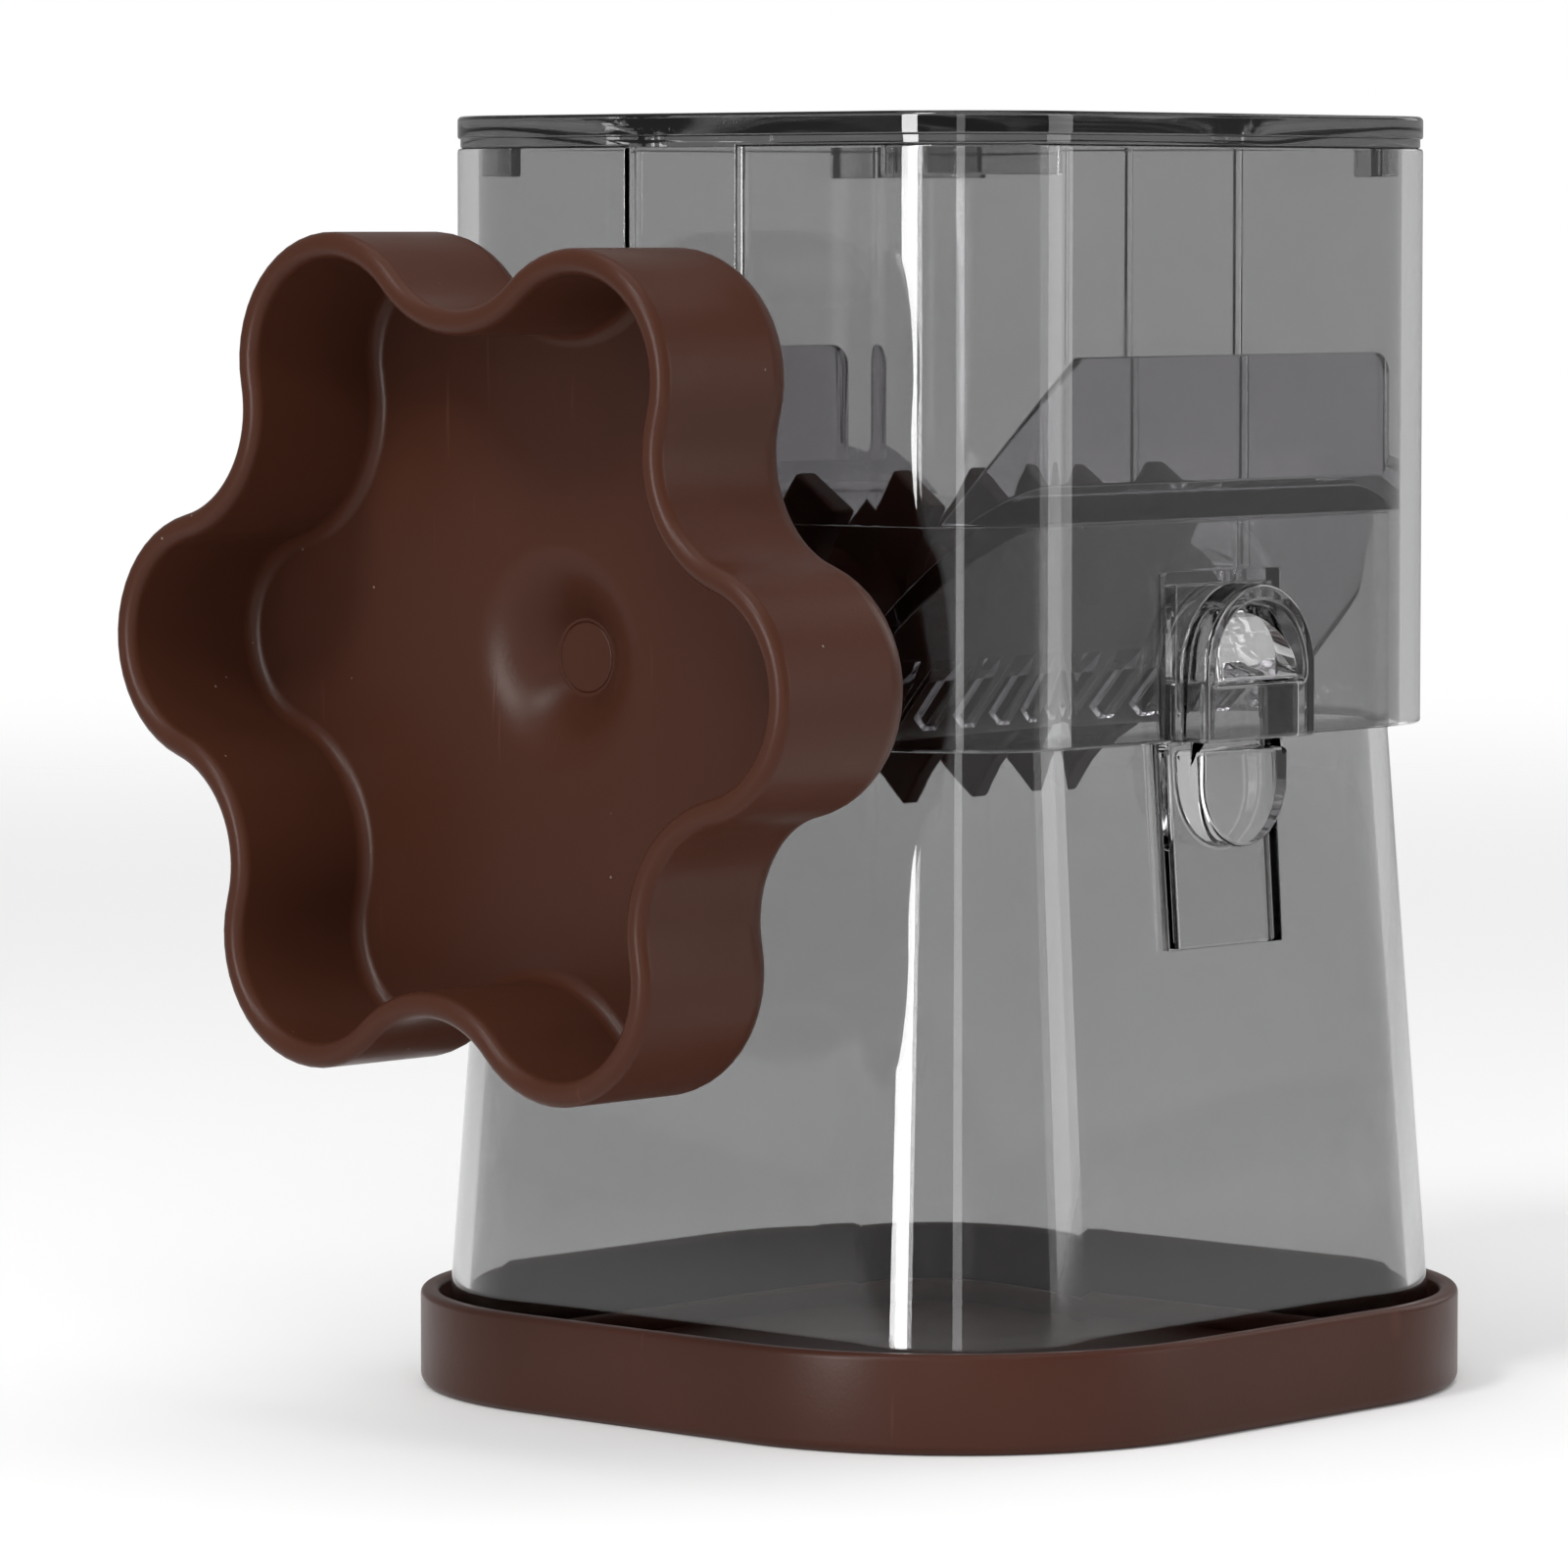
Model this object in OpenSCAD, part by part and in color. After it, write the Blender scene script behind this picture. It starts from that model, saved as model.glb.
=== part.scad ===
// Hand cranked nut grinder. A clear hopper with a toothed rotor stands on a clear
// tapered container, which stands in a round cornered tray.
// The origin is the centre of the tray's underside, Z is up and the knob faces -Y.
// Lengths are in millimetres, angles in degrees.

/* [Base tray] */
// Width of the tray over its flat sides
base_w = 98; // [92:1:108]
// Corner radius of the tray seen from above
base_corner = 33; // [24:1:38]
// Height of the tray's rim
base_h = 10.3; // [7:0.1:14]
// Thickness of the rim
base_wall = 2; // [1.4:0.1:3]
// Thickness of the floor
base_floor = 2; // [1.4:0.1:3]
// Bevel round the bottom edge
base_bevel = 1.2; // [0.4:0.1:2]
// Gap between the rim and the container's foot, across the corners
foot_gap = 0.6; // [0.4:0.1:2]
// Height of the lip that centres the container
lip_h = 2.4; // [1:0.1:4]
// Thickness of the lip
lip_wall = 1.6; // [1:0.1:2.4]
// Gap between the lip and the container
lip_gap = 0.8; // [0.5:0.1:1.5]

/* [Container] */
// Height of the tapered part, from its foot to its shoulder
taper_h = 70.6; // [60:0.2:85]
// Corner radius of the container's foot
foot_corner = 18; // [9:0.5:24]
// Wall thickness of the container
container_wall = 2; // [1.4:0.1:2.6]
// Height of the straight neck above the shoulder
neck_h = 20.6; // [19:0.1:22]
// Gap between the neck and the hopper's wall
neck_gap = 0.7; // [0.3:0.1:1]
// How much rounder the neck's corners are than the hopper's inside
neck_corner_extra = 1.2; // [0.4:0.1:3]

/* [Latch] */
// Half width of the bending arm
arm_half = 8; // [7.4:0.1:9]
// Width of the slit on each side of the arm
slit_w = 1.2; // [0.8:0.1:2]
// Length of the slits below the hopper's lower edge
slit_drop = 21.6; // [18:0.1:26]
// Gap at the bending end of the arm
bend_gap = 0.15; // [0.1:0.05:0.3]
// Half width of the hook
hook_half = 6.4; // [5:0.1:6.8]
// Height of the hook's dome
hook_h = 7.4; // [5.5:0.1:8]
// Radius of the hook's roof, seen from the side
hook_round = 9; // [8.4:0.1:12]
// How far the hook laps over the bridge
hook_lap = 1.1; // [1:0.1:1.8]
// Play between the hook's underside and the bridge
hook_gap = 0.2; // [0.1:0.05:0.4]
// Half width of the thumb pad, which is also the radius of its round end
pad_half = 7; // [4.5:0.1:7.4]
// Height of the thumb pad
pad_h = 10.1; // [8:0.1:12]
// How far the pad stands out
pad_out = 4; // [3:0.1:5]
// Gap between the pad and the hopper's lower edge
pad_gap = 1.1; // [0.6:0.1:2]

/* [Hopper] */
// Width of the hopper over its flat sides
hopper_w = 81.4; // [77:0.2:86]
// Corner radius of the hopper
hopper_corner = 15; // [10:0.5:18]
// Wall thickness of the hopper
hopper_wall = 2.2; // [1.6:0.1:2.8]
// Height of the hopper's wall
hopper_h = 61; // [56:0.5:75]
// How far the hopper's skirt reaches below the container's shoulder
skirt_drop = 2; // [0:0.1:4]
// Width of the two slots for the shaft
slot_w = 15.6; // [14.8:0.1:17]
// Half width of the latch arch
arch_half = 9; // [8.6:0.1:10.5]
// Height of the latch arch
arch_h = 16.1; // [15.8:0.1:18]
// How far the arch stands out from the wall
arch_out = 3.3; // [3:0.1:5]
// Thickness of the arch
arch_wall = 1.8; // [1.4:0.1:2]
// Height of the bridge that the hook holds
bridge_h = 5.9; // [4.5:0.1:6.5]
// Thickness of the bridge
bridge_t = 1.3; // [1.1:0.1:2.2]

/* [Lid] */
// Thickness of the lid's plate
lid_t = 2.4; // [1.8:0.1:4]
// Height of the set-back band under the plate
lid_band_h = 1; // [0.6:0.1:2]
// How far that band is set back
lid_band_inset = 0.3; // [0.1:0.1:0.8]
// Bevel round the lid's top edge
lid_bevel = 0.5; // [0.2:0.1:1]
// Gap between each tongue and its slot
tongue_gap = 0.25; // [0.15:0.05:0.4]
// Height of the corner lugs under the lid
lug_h = 3; // [2:0.1:5]
// Thickness of the corner lugs
lug_t = 1.6; // [1:0.1:2.4]
// Gap between the lugs and the hopper's wall
lug_gap = 0.4; // [0.2:0.1:0.8]

/* [Chutes] */
// Steepness of the sloping plate
slope = 47.6; // [45:0.2:53]
// Height of the slope's upper end above the hopper's lower edge
slope_top = 28.9; // [28.4:0.1:30]
// Thickness of the sloping plate
slab_t = 2; // [1.4:0.1:2.4]
// Height of the comb's lower end above the hopper's lower edge
comb_low = 2; // [1.4:0.1:4]
// Height of the standing flange above the hopper's lower edge
flange_top = 39.6; // [36:0.2:44]
// Thickness of the standing flange
flange_t = 2; // [1.4:0.1:2.6]
// Where the flange's level top ends towards the knob
flange_front = 24.5; // [16:0.5:27]
// Steepness of the flange's slanting front edge
flange_slant = 53.4; // [48:0.2:60]
// Turn of that slant from square to the wall, towards the back
flange_slant_turn = 39.4; // [30:0.2:45]
// Where the flange's level top ends towards the back
flange_back = 24.5; // [20:0.5:27]
// Corner radius of the flange's back end
flange_round = 2.5; // [1:0.1:4]
// Gap round a chute where it stands in the hopper
chute_gap = 0.1; // [0.05:0.05:0.2]
// Gap under a chute, above the container's neck
seat_gap = 0.2; // [0.1:0.05:0.3]
// Gap between the teeth and the comb's slots
comb_gap = 0.6; // [0.4:0.05:0.8]

/* [Rotor] */
// Height of the shaft above the hopper's lower edge
shaft_up = 9.1; // [9:0.1:9.6]
// Diameter of the toothed core
core_d = 21; // [18:0.5:23]
// Gap between the core's ends and the bushes
core_gap = 0.4; // [0.3:0.1:1]
// Radius that the teeth reach
tooth_r = 20; // [18.5:0.1:20.6]
// Width of a tooth's top
tooth_land = 7; // [5:0.1:9]
// Corner radius of a tooth's top
tooth_round = 1.2; // [0.6:0.1:1.6]
// Thickness of a tooth along the shaft
tooth_t = 3; // [2:0.1:3.4]
// Distance between the teeth of one row
tooth_pitch = 13.2; // [12.6:0.1:13.6]
// Teeth in each of the two rows
teeth = 5; // [3:1:5]
// Turn of the first row from straight up, towards +X
row_turn = 34; // [20:1:40]

/* [Shaft and bushes] */
// Diameter of the shaft
shaft_d = 10; // [8:0.5:11]
// Diameter of the shaft's nose, which shows in the knob
nose_d = 7.2; // [5:0.1:7.6]
// Radial play between the shaft and a bush
shaft_play = 0.05; // [0.03:0.01:0.08]
// Gap between a bush and its slot
bush_gap = 0.2; // [0.1:0.05:0.3]
// Radius of a bush's flanges
bush_flange_r = 9; // [8.6:0.1:10]
// Thickness of a bush's flanges
bush_flange_t = 1; // [0.8:0.1:1.2]
// Play between the flanges and the walls that they hold
bush_play = 0.1; // [0.05:0.05:0.2]
// How far the shaft stands out at the back
shaft_tail = 1.2; // [0.6:0.1:2]

/* [Knob] */
// Number of lobes
lobes = 6; // [5:1:7]
// Radius over the lobes
knob_r = 47; // [43:0.5:52]
// Depth of the hollows between the lobes
hollow_depth = 11.5; // [9:0.1:13]
// Radius of a lobe's round end
lobe_r = 13; // [11:0.1:14]
// Depth of the knob's cup, rim to back
knob_depth = 20.1; // [16:0.1:26]
// Wall thickness of the cup
knob_wall = 2.6; // [2:0.1:3.4]
// Thickness of the cup's floor
knob_floor = 2.5; // [2:0.1:3.5]
// Rounding of the cup's back edge
knob_back_round = 4.5; // [2:0.1:5]
// Rounding where the cup's wall meets its floor
cup_round = 1.5; // [0.5:0.1:3]
// Rounding of the rim
rim_round = 1; // [0.4:0.1:1.2]
// Distance from the hopper's wall to the back of the cup
knob_stand = 15.7; // [13:0.1:24]
// Gap between the knob's hub and the front bush
hub_gap = 0.3; // [0.2:0.05:0.6]
// Radius of the hub
hub_r = 7.6; // [7:0.1:9]
// Size of the flare where the hub meets the cup
hub_flare = 4; // [2:0.1:6]
// Radius of the dimple in the cup's floor
dimple_r = 12; // [10:0.5:15]
// Depth of the dimple
dimple_depth = 4.2; // [3:0.1:6]
// Flat rim round the shaft's nose in the dimple
nose_rim = 0.4; // [0.2:0.1:0.8]
// Turn of the knob as it stands
knob_turn = 2.6; // [0:0.1:30]

/* [Hidden] */
$fn = 96;

clear = [0.42, 0.42, 0.44, 0.45];
brown = [0.29, 0.19, 0.16];
dark_brown = [0.2, 0.12, 0.11];

// Overrun of cuts, and the thickness of the slices that a taper runs between
over = 1;
film = 0.01;
hull_fn = 48;

// Half widths and radii that follow from the sizes above
base_half = base_w / 2;
foot_reach = (base_half - base_corner) * sqrt(2) + base_corner - base_wall - foot_gap;
foot_half = (foot_reach - foot_corner) / sqrt(2) + foot_corner;
hopper_half = hopper_w / 2;
bore_half = hopper_half - hopper_wall;
bore_corner = hopper_corner - hopper_wall;
neck_half = bore_half - neck_gap;
neck_corner = bore_corner + neck_corner_extra;
mouth_half = neck_half - container_wall;

// Heights above the tray's underside
foot_z = base_floor;
shoulder_z = foot_z + taper_h;
neck_z = shoulder_z + neck_h;
hopper_z = shoulder_z - skirt_drop;
rim_z = hopper_z + hopper_h;
shaft_z = hopper_z + shaft_up;
slit_z = hopper_z - slit_drop;
bridge_z = hopper_z + bridge_h;
arch_z = hopper_z + arch_h;

// Places along the shaft, counted from the middle towards the knob
bush_in = mouth_half - bush_play;
bush_out = hopper_half + bush_play;
core_half = bush_in - bush_flange_t - core_gap;
hub_start = bush_out + bush_flange_t + hub_gap;
cup_back = hopper_half + knob_stand;
cup_front = cup_back + knob_depth;
dimple_end = cup_back + knob_floor - dimple_depth;

// Half width of the container's outside at height z on its tapered part
function taper_half(z) = neck_half + (foot_half - neck_half) * (shoulder_z - z) / taper_h;

// A square with round corners, drawn about its centre
module round_square(half, r) {
    square([2 * half, 2 * (half - r)], center = true);
    square([2 * (half - r), 2 * half], center = true);
    for (x = [-1, 1], y = [-1, 1]) translate([x * (half - r), y * (half - r)]) circle(r);
}

// The same outline as a prism between two heights
module round_prism(half, r, z0, z1) {
    translate([0, 0, z0]) linear_extrude(z1 - z0) round_square(half, r);
}

// A prism that runs straight from one outline to another
module taper_prism(half0, r0, z0, half1, r1, z1) {
    hull() {
        round_prism(half0, r0, z0, z0 + film, $fn = hull_fn);
        round_prism(half1, r1, z1 - film, z1, $fn = hull_fn);
    }
}

// Puts a shape whose Z runs along the shaft in place, with its Z towards the knob
module on_shaft() {
    translate([0, 0, shaft_z]) rotate([90, 0, 0]) children();
}

// Puts a shape drawn in Y and Z on the right side, standing out along X from x0 to x1
module on_side(x0, x1) {
    translate([x0, 0, 0]) rotate([90, 0, 90]) linear_extrude(x1 - x0) children();
}

// Turns a profile drawn in X and Z into a bar along Y
module along_y(half) {
    translate([0, half, 0]) rotate([90, 0, 0]) linear_extrude(2 * half) children();
}

// Mirrors a right hand piece to the left
module left_hand() {
    mirror([1, 0, 0]) children();
}

// Slots with a round end, open at the top, for the shaft to drop into through two walls
module shaft_slots(top) {
    along_y(hopper_half + over) {
        translate([0, shaft_z]) circle(slot_w / 2);
        translate([-slot_w / 2, shaft_z]) square([slot_w, top - shaft_z]);
    }
}

// Outline with a round top, from height low to height top
module arch_outline(half, low, top) {
    intersection() {
        union() {
            translate([0, top - half]) circle(half);
            translate([-half, low - half]) square([2 * half, top - low]);
        }
        translate([-half, low]) square([2 * half, top - low]);
    }
}

// Tray that the container stands in
module base_tray() {
    color(brown) {
        difference() {
            union() {
                taper_prism(base_half - base_bevel, base_corner - base_bevel, 0,
                    base_half, base_corner, base_bevel);
                round_prism(base_half, base_corner, base_bevel, base_h);
            }
            round_prism(base_half - base_wall, base_corner - base_wall, base_floor, base_h + over);
        }
        lip_half = foot_half - container_wall - lip_gap;
        lip_corner = foot_corner - container_wall - lip_gap;
        difference() {
            round_prism(lip_half, lip_corner, base_floor, base_floor + lip_h);
            round_prism(lip_half - lip_wall, lip_corner - lip_wall, base_floor, base_floor + lip_h + over);
        }
    }
}

// Room in the container's wall for a latch arm and its slits
module arm_window() {
    on_side(0, max(foot_half, neck_half) + over) translate([-arm_half - slit_w, slit_z])
        square([2 * (arm_half + slit_w), arch_z + slit_w - slit_z]);
}

// Tapered container, open below, with a straight neck
module container() {
    inner_foot = foot_half - container_wall;
    inner_corner = foot_corner - container_wall;
    color(clear) difference() {
        union() {
            taper_prism(foot_half, foot_corner, foot_z, neck_half, neck_corner, shoulder_z);
            round_prism(neck_half, neck_corner, shoulder_z, neck_z);
        }
        taper_prism(inner_foot, inner_corner, foot_z, mouth_half, neck_corner - container_wall, shoulder_z);
        round_prism(mouth_half, neck_corner - container_wall, shoulder_z - over, neck_z + over);
        round_prism(inner_foot, inner_corner, foot_z - over, foot_z + film);
        shaft_slots(neck_z + over);
        arm_window();
        left_hand() arm_window();
    }
}

// Bending arm of the right latch, with its hook above and its thumb pad below
module latch_arm() {
    hook_z = bridge_z + hook_gap;
    hook_out = hopper_half + arch_out - bridge_t + hook_lap;
    low = slit_z + bend_gap;
    pad_top = hopper_z - pad_gap;
    color(clear) {
        along_y(arm_half) polygon([
            [taper_half(low) - container_wall, low], [taper_half(low), low],
            [neck_half, shoulder_z], [neck_half, arch_z],
            [mouth_half, arch_z], [mouth_half, shoulder_z]]);
        intersection() {
            on_side(neck_half - container_wall / 2, hook_out) arch_outline(hook_half, hook_z, hook_z + hook_h);
            along_y(hook_half + over) translate([hook_out - hook_round, hook_z]) circle(hook_round);
        }
        on_side(taper_half(pad_top) - container_wall / 2, taper_half(pad_top) + pad_out)
            rotate(180) arch_outline(pad_half, -pad_top, pad_h - pad_top);
    }
}

// Arch on the hopper's right side, which the hook snaps into
module latch_arch() {
    inner = arch_half - arch_wall;
    on_side(bore_half, hopper_half + arch_out) difference() {
        arch_outline(arch_half, hopper_z, arch_z);
        arch_outline(inner, hopper_z - over, arch_z - arch_wall);
    }
    on_side(hopper_half + arch_out - bridge_t, hopper_half + arch_out)
        translate([-inner, hopper_z]) square([2 * inner, bridge_h]);
}

// Room in the hopper's wall for the hook
module hook_window() {
    on_side(bore_half - over, hopper_half + film)
        arch_outline(arch_half - arch_wall, hopper_z - over, arch_z - arch_wall);
}

// Square hopper with a slot for the shaft at the front and at the back
module hopper() {
    color(clear) {
        difference() {
            round_prism(hopper_half, hopper_corner, hopper_z, rim_z);
            round_prism(bore_half, bore_corner, hopper_z - over, rim_z + over);
            shaft_slots(rim_z + over);
            hook_window();
            left_hand() hook_window();
        }
        latch_arch();
        left_hand() latch_arch();
    }
}

// Flat lid. A tongue at the front and at the back closes each slot down to its bush
module lid() {
    tongue_half = slot_w / 2 - tongue_gap;
    tongue_z = shaft_z + slot_w / 2 - bush_gap + seat_gap;
    lug_out = bore_half - lug_gap;
    lug_corner = bore_corner - lug_gap;
    plate_z = rim_z + lid_band_h;
    color(clear) {
        round_prism(hopper_half - lid_band_inset, hopper_corner - lid_band_inset, rim_z, plate_z);
        round_prism(hopper_half, hopper_corner, plate_z, plate_z + lid_t - lid_bevel);
        taper_prism(hopper_half, hopper_corner, plate_z + lid_t - lid_bevel,
            hopper_half - lid_bevel, hopper_corner - lid_bevel, plate_z + lid_t);
        for (s = [0, 1]) mirror([0, s, 0]) translate([-tongue_half, bore_half, tongue_z])
            cube([2 * tongue_half, hopper_wall - lid_band_inset, rim_z - tongue_z + lid_band_h]);
        difference() {
            round_prism(lug_out, lug_corner, rim_z - lug_h, plate_z);
            round_prism(lug_out - lug_t, lug_corner - lug_t, rim_z - lug_h - over, plate_z + over);
            for (t = [0, 90]) rotate([0, 0, t]) translate([-bore_half - over, -bore_half + bore_corner, 0])
                cube([2 * (bore_half + over), 2 * (bore_half - bore_corner), plate_z + over]);
        }
    }
}

// Flange of the right chute. It follows the hopper's wall round the front corner and slants down to it
module chute_flange(fit_half, fit_corner, seat_z) {
    flange_z = hopper_z + flange_top;
    intersection() {
        difference() {
            round_prism(fit_half, fit_corner, seat_z, flange_z);
            round_prism(fit_half - flange_t, fit_corner - flange_t, seat_z - over, flange_z + over);
            translate([fit_half, -flange_front, flange_z]) rotate([0, -flange_slant, flange_slant_turn])
                translate([-hopper_h, -hopper_h, 0]) cube([2 * hopper_h, 2 * hopper_h, hopper_h]);
        }
        on_side(fit_half - fit_corner, fit_half + over) {
            translate([-fit_half, seat_z]) square([fit_half + flange_back, flange_z - seat_z]);
            translate([flange_back, flange_z - flange_round]) circle(flange_round);
            translate([flange_back, seat_z]) square([flange_round, flange_z - flange_round - seat_z]);
        }
    }
}

// Chute on the right: a flange on the wall, a slope to the rotor, and a comb along its lower edge
module chute() {
    fit_half = bore_half - chute_gap;
    fit_corner = bore_corner - chute_gap;
    seat_z = neck_z + seat_gap;
    rise = tan(slope);
    drop = slab_t / cos(slope);
    slope_z = hopper_z + slope_top;
    comb_z = hopper_z + comb_low;
    comb_x = bore_half - (slope_z - comb_z) / rise;
    low_x = comb_x + slab_t * sin(slope);
    low_z = comb_z - slab_t * cos(slope);
    under_x = bore_half - (slope_z - drop - seat_z) / rise;
    color(clear) difference() {
        union() {
            intersection() {
                along_y(fit_half) polygon([[comb_x, comb_z], [bore_half, slope_z], [bore_half, seat_z],
                    [under_x, seat_z], [low_x, low_z]]);
                union() {
                    round_prism(fit_half, fit_corner, seat_z, rim_z);
                    round_prism(mouth_half - seat_gap, neck_corner - container_wall, hopper_z - over, rim_z);
                }
            }
            chute_flange(fit_half, fit_corner, seat_z);
        }
        on_shaft() for (k = [0 : 2 * teeth - 1])
            translate([0, 0, (k - teeth + 1 / 2) * tooth_pitch / 2 - tooth_t / 2 - comb_gap])
                cylinder(h = tooth_t + 2 * comb_gap, r = tooth_r + comb_gap);
    }
}

// Outline of a bush: round below and square above, to fill a slot
module bush_outline(r) {
    circle(r);
    translate([-r, 0]) square([2 * r, r]);
}

// Clear bush at the front, which holds the shaft in the slots of the hopper and the neck
module bush() {
    body_r = slot_w / 2 - bush_gap;
    color(clear) on_shaft() difference() {
        union() {
            translate([0, 0, bush_in - bush_flange_t]) linear_extrude(bush_out - bush_in + 2 * bush_flange_t)
                bush_outline(body_r);
            for (z = [bush_in - bush_flange_t, bush_out]) translate([0, 0, z])
                cylinder(h = bush_flange_t, r = bush_flange_r);
        }
        translate([0, 0, bush_in - bush_flange_t - over])
            cylinder(h = bush_out - bush_in + 2 * (bush_flange_t + over), r = shaft_d / 2 + shaft_play);
    }
}

// Shares of a tooth's reach above the core, and of its half width there
tooth_up_shares = [0, 0.3, 0.62, 1];
tooth_side_shares = [1.7, 1.25, 1.05, 1];

// One tooth, pointing along +Y of its own plane
module tooth_outline() {
    root = core_d / 2 * cos(row_turn);
    tip = tooth_r - tooth_round;
    half = tooth_land / 2;
    last = len(tooth_up_shares) - 1;
    right = [for (i = [0 : last]) [half * tooth_side_shares[i], root + (tip - root) * tooth_up_shares[i]]];
    left = [for (i = [last : -1 : 0]) [-right[i][0], right[i][1]]];
    polygon(concat(right, left));
    for (s = [-1, 1]) translate([s * (half - tooth_round), tip]) circle(tooth_round);
    translate([tooth_round - half, tip]) square([2 * (half - tooth_round), tooth_round]);
}

// Toothed core. Its two rows stand opposite each other, half a pitch apart
module rotor() {
    color(dark_brown) on_shaft() difference() {
        union() {
            translate([0, 0, -core_half]) cylinder(h = 2 * core_half, r = core_d / 2);
            for (row = [0, 1], k = [0 : teeth - 1])
                translate([0, 0, ((teeth - 1) / 2 - k) * tooth_pitch + (1 - 2 * row) * tooth_pitch / 4 - tooth_t / 2])
                    rotate([0, 0, 180 * row - row_turn]) linear_extrude(tooth_t) tooth_outline();
        }
        translate([0, 0, -core_half - over]) cylinder(h = 2 * (core_half + over), r = shaft_d / 2);
    }
}

// Shaft, from the nose that shows in the knob to the tail behind the rear bush
module shaft() {
    nose_start = (hub_start + dimple_end) / 2;
    tail = bush_out + bush_flange_t + shaft_tail;
    color(dark_brown) on_shaft() {
        translate([0, 0, -tail]) cylinder(h = tail + nose_start, r = shaft_d / 2);
        translate([0, 0, nose_start]) cylinder(h = dimple_end - nose_start, r = nose_d / 2);
    }
}

// Places of the arcs that make the knob's outline: each lobe meets each hollow smoothly
half_step = 180 / lobes;
lobe_at = knob_r - lobe_r;
hollow_reach = knob_r - hollow_depth;
hollow_r = (lobe_at * lobe_at + hollow_reach * hollow_reach
    - 2 * lobe_at * hollow_reach * cos(half_step) - lobe_r * lobe_r)
    / (2 * (lobe_at * cos(half_step) + lobe_r - hollow_reach));
hollow_at = hollow_reach + hollow_r;
lobe_span = atan2(hollow_at * sin(half_step), hollow_at * cos(half_step) - lobe_at);
arc_steps = 7;

// One point at angle t on the arc of radius r, whose centre lies at distance d and angle a
function arc_point(d, a, r, t) = [d * cos(a) + r * cos(t), d * sin(a) + r * sin(t)];

// Points of the lobed outline, drawn in from the knob's outside by an inset
function lobed_ring(inset) = [for (k = [0 : lobes - 1], hollow = [0, 1], i = [0 : arc_steps - 1])
    let (a = (2 * k + hollow) * half_step, u = 2 * i / arc_steps - 1)
    hollow == 0 ? arc_point(lobe_at, a, lobe_r - inset, a + u * lobe_span)
        : arc_point(hollow_at, a, hollow_r + inset, a + 180 - u * (lobe_span - half_step))];

// Lobed solid through a list of levels, each an inset and a height
module lobed(levels) {
    n = 2 * lobes * arc_steps;
    top = len(levels) - 1;
    points = [for (level = levels, p = lobed_ring(level[0])) [p[0], p[1], level[1]]];
    sides = [for (j = [0 : top - 1], i = [0 : n - 1]) let (low = j * n, high = low + n, next = (i + 1) % n)
        each [[low + i, high + i, high + next], [low + i, high + next, low + next]]];
    polyhedron(points, concat([[for (i = [0 : n - 1]) i], [for (i = [n - 1 : -1 : 0]) top * n + i]], sides));
}

// Levels round an arc of radius r from angle t0 to t1: 0 is out from the middle, 90 is up
function round_levels(inset, z, r, t0, t1, steps) = [for (i = [0 : steps])
    let (t = t0 + (t1 - t0) * i / steps) [inset - r * cos(t), z + r * sin(t)]];

// Lobed cup that turns the rotor, with a hub on its back and a dimple in its floor
module knob() {
    bore_end = (hub_start + dimple_end) / 2;
    floor_z = cup_back + knob_floor;
    inside_z = cup_back + knob_floor / 2;
    flare_z = cup_back - hub_flare + knob_floor / 8;
    nose_r = nose_d / 2;
    seat_r = nose_r + nose_rim;
    steps = 8;
    flare = [for (k = [0 : steps]) let (t = 90 * k / steps)
        [hub_r + hub_flare * (1 - cos(t)), flare_z + hub_flare * sin(t)]];
    trumpet = [for (k = [0 : steps]) let (u = k / steps)
        [seat_r + (dimple_r - seat_r) * u, floor_z - dimple_depth * pow(1 - u, 2)]];
    color(brown) on_shaft() rotate([0, 0, -knob_turn]) difference() {
        union() {
            lobed(concat(round_levels(knob_back_round, cup_back + knob_back_round, knob_back_round, -90, 0, 4),
                round_levels(rim_round, cup_front - rim_round, rim_round, 0, 90, 2),
                round_levels(knob_wall - rim_round, cup_front - rim_round, rim_round, 90, 180, 2),
                round_levels(knob_wall + cup_round, floor_z + cup_round, cup_round, 0, -90, 2)));
            rotate_extrude() polygon(concat([[0, hub_start], [hub_r, hub_start]], flare,
                [[hub_r + hub_flare, inside_z], [0, inside_z]]));
        }
        rotate_extrude() polygon(concat(trumpet, [[dimple_r, floor_z + over], [0, floor_z + over], [0, dimple_end]]));
        translate([0, 0, hub_start - over]) cylinder(h = bore_end - hub_start + over, r = shaft_d / 2);
        translate([0, 0, bore_end - over]) cylinder(h = dimple_end - bore_end + 2 * over, r = nose_r);
    }
}

base_tray();
container();
latch_arm();  // latch_arm_right
left_hand() latch_arm();  // latch_arm_left
hopper();
lid();
chute();  // chute_right
left_hand() chute();  // chute_left
bush();  // front_bush
mirror([0, 1, 0]) bush();  // rear_bush
rotor();
shaft();
knob();
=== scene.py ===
"""Looks of a hand cranked nut grinder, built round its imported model.

A clear hopper with a toothed brown rotor stands on a clear tapered container in a brown tray.
Sizes are in metres, Z is up, the knob faces -Y and the latches are on +X and -X.
"""
import logging
from dataclasses import dataclass, field
from enum import Enum
from math import atan2, cos, hypot, pi, radians, sin, sqrt
from typing import Callable, Optional, Sequence, Union

import bmesh
import bpy
from mathutils import Matrix, Vector


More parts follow.
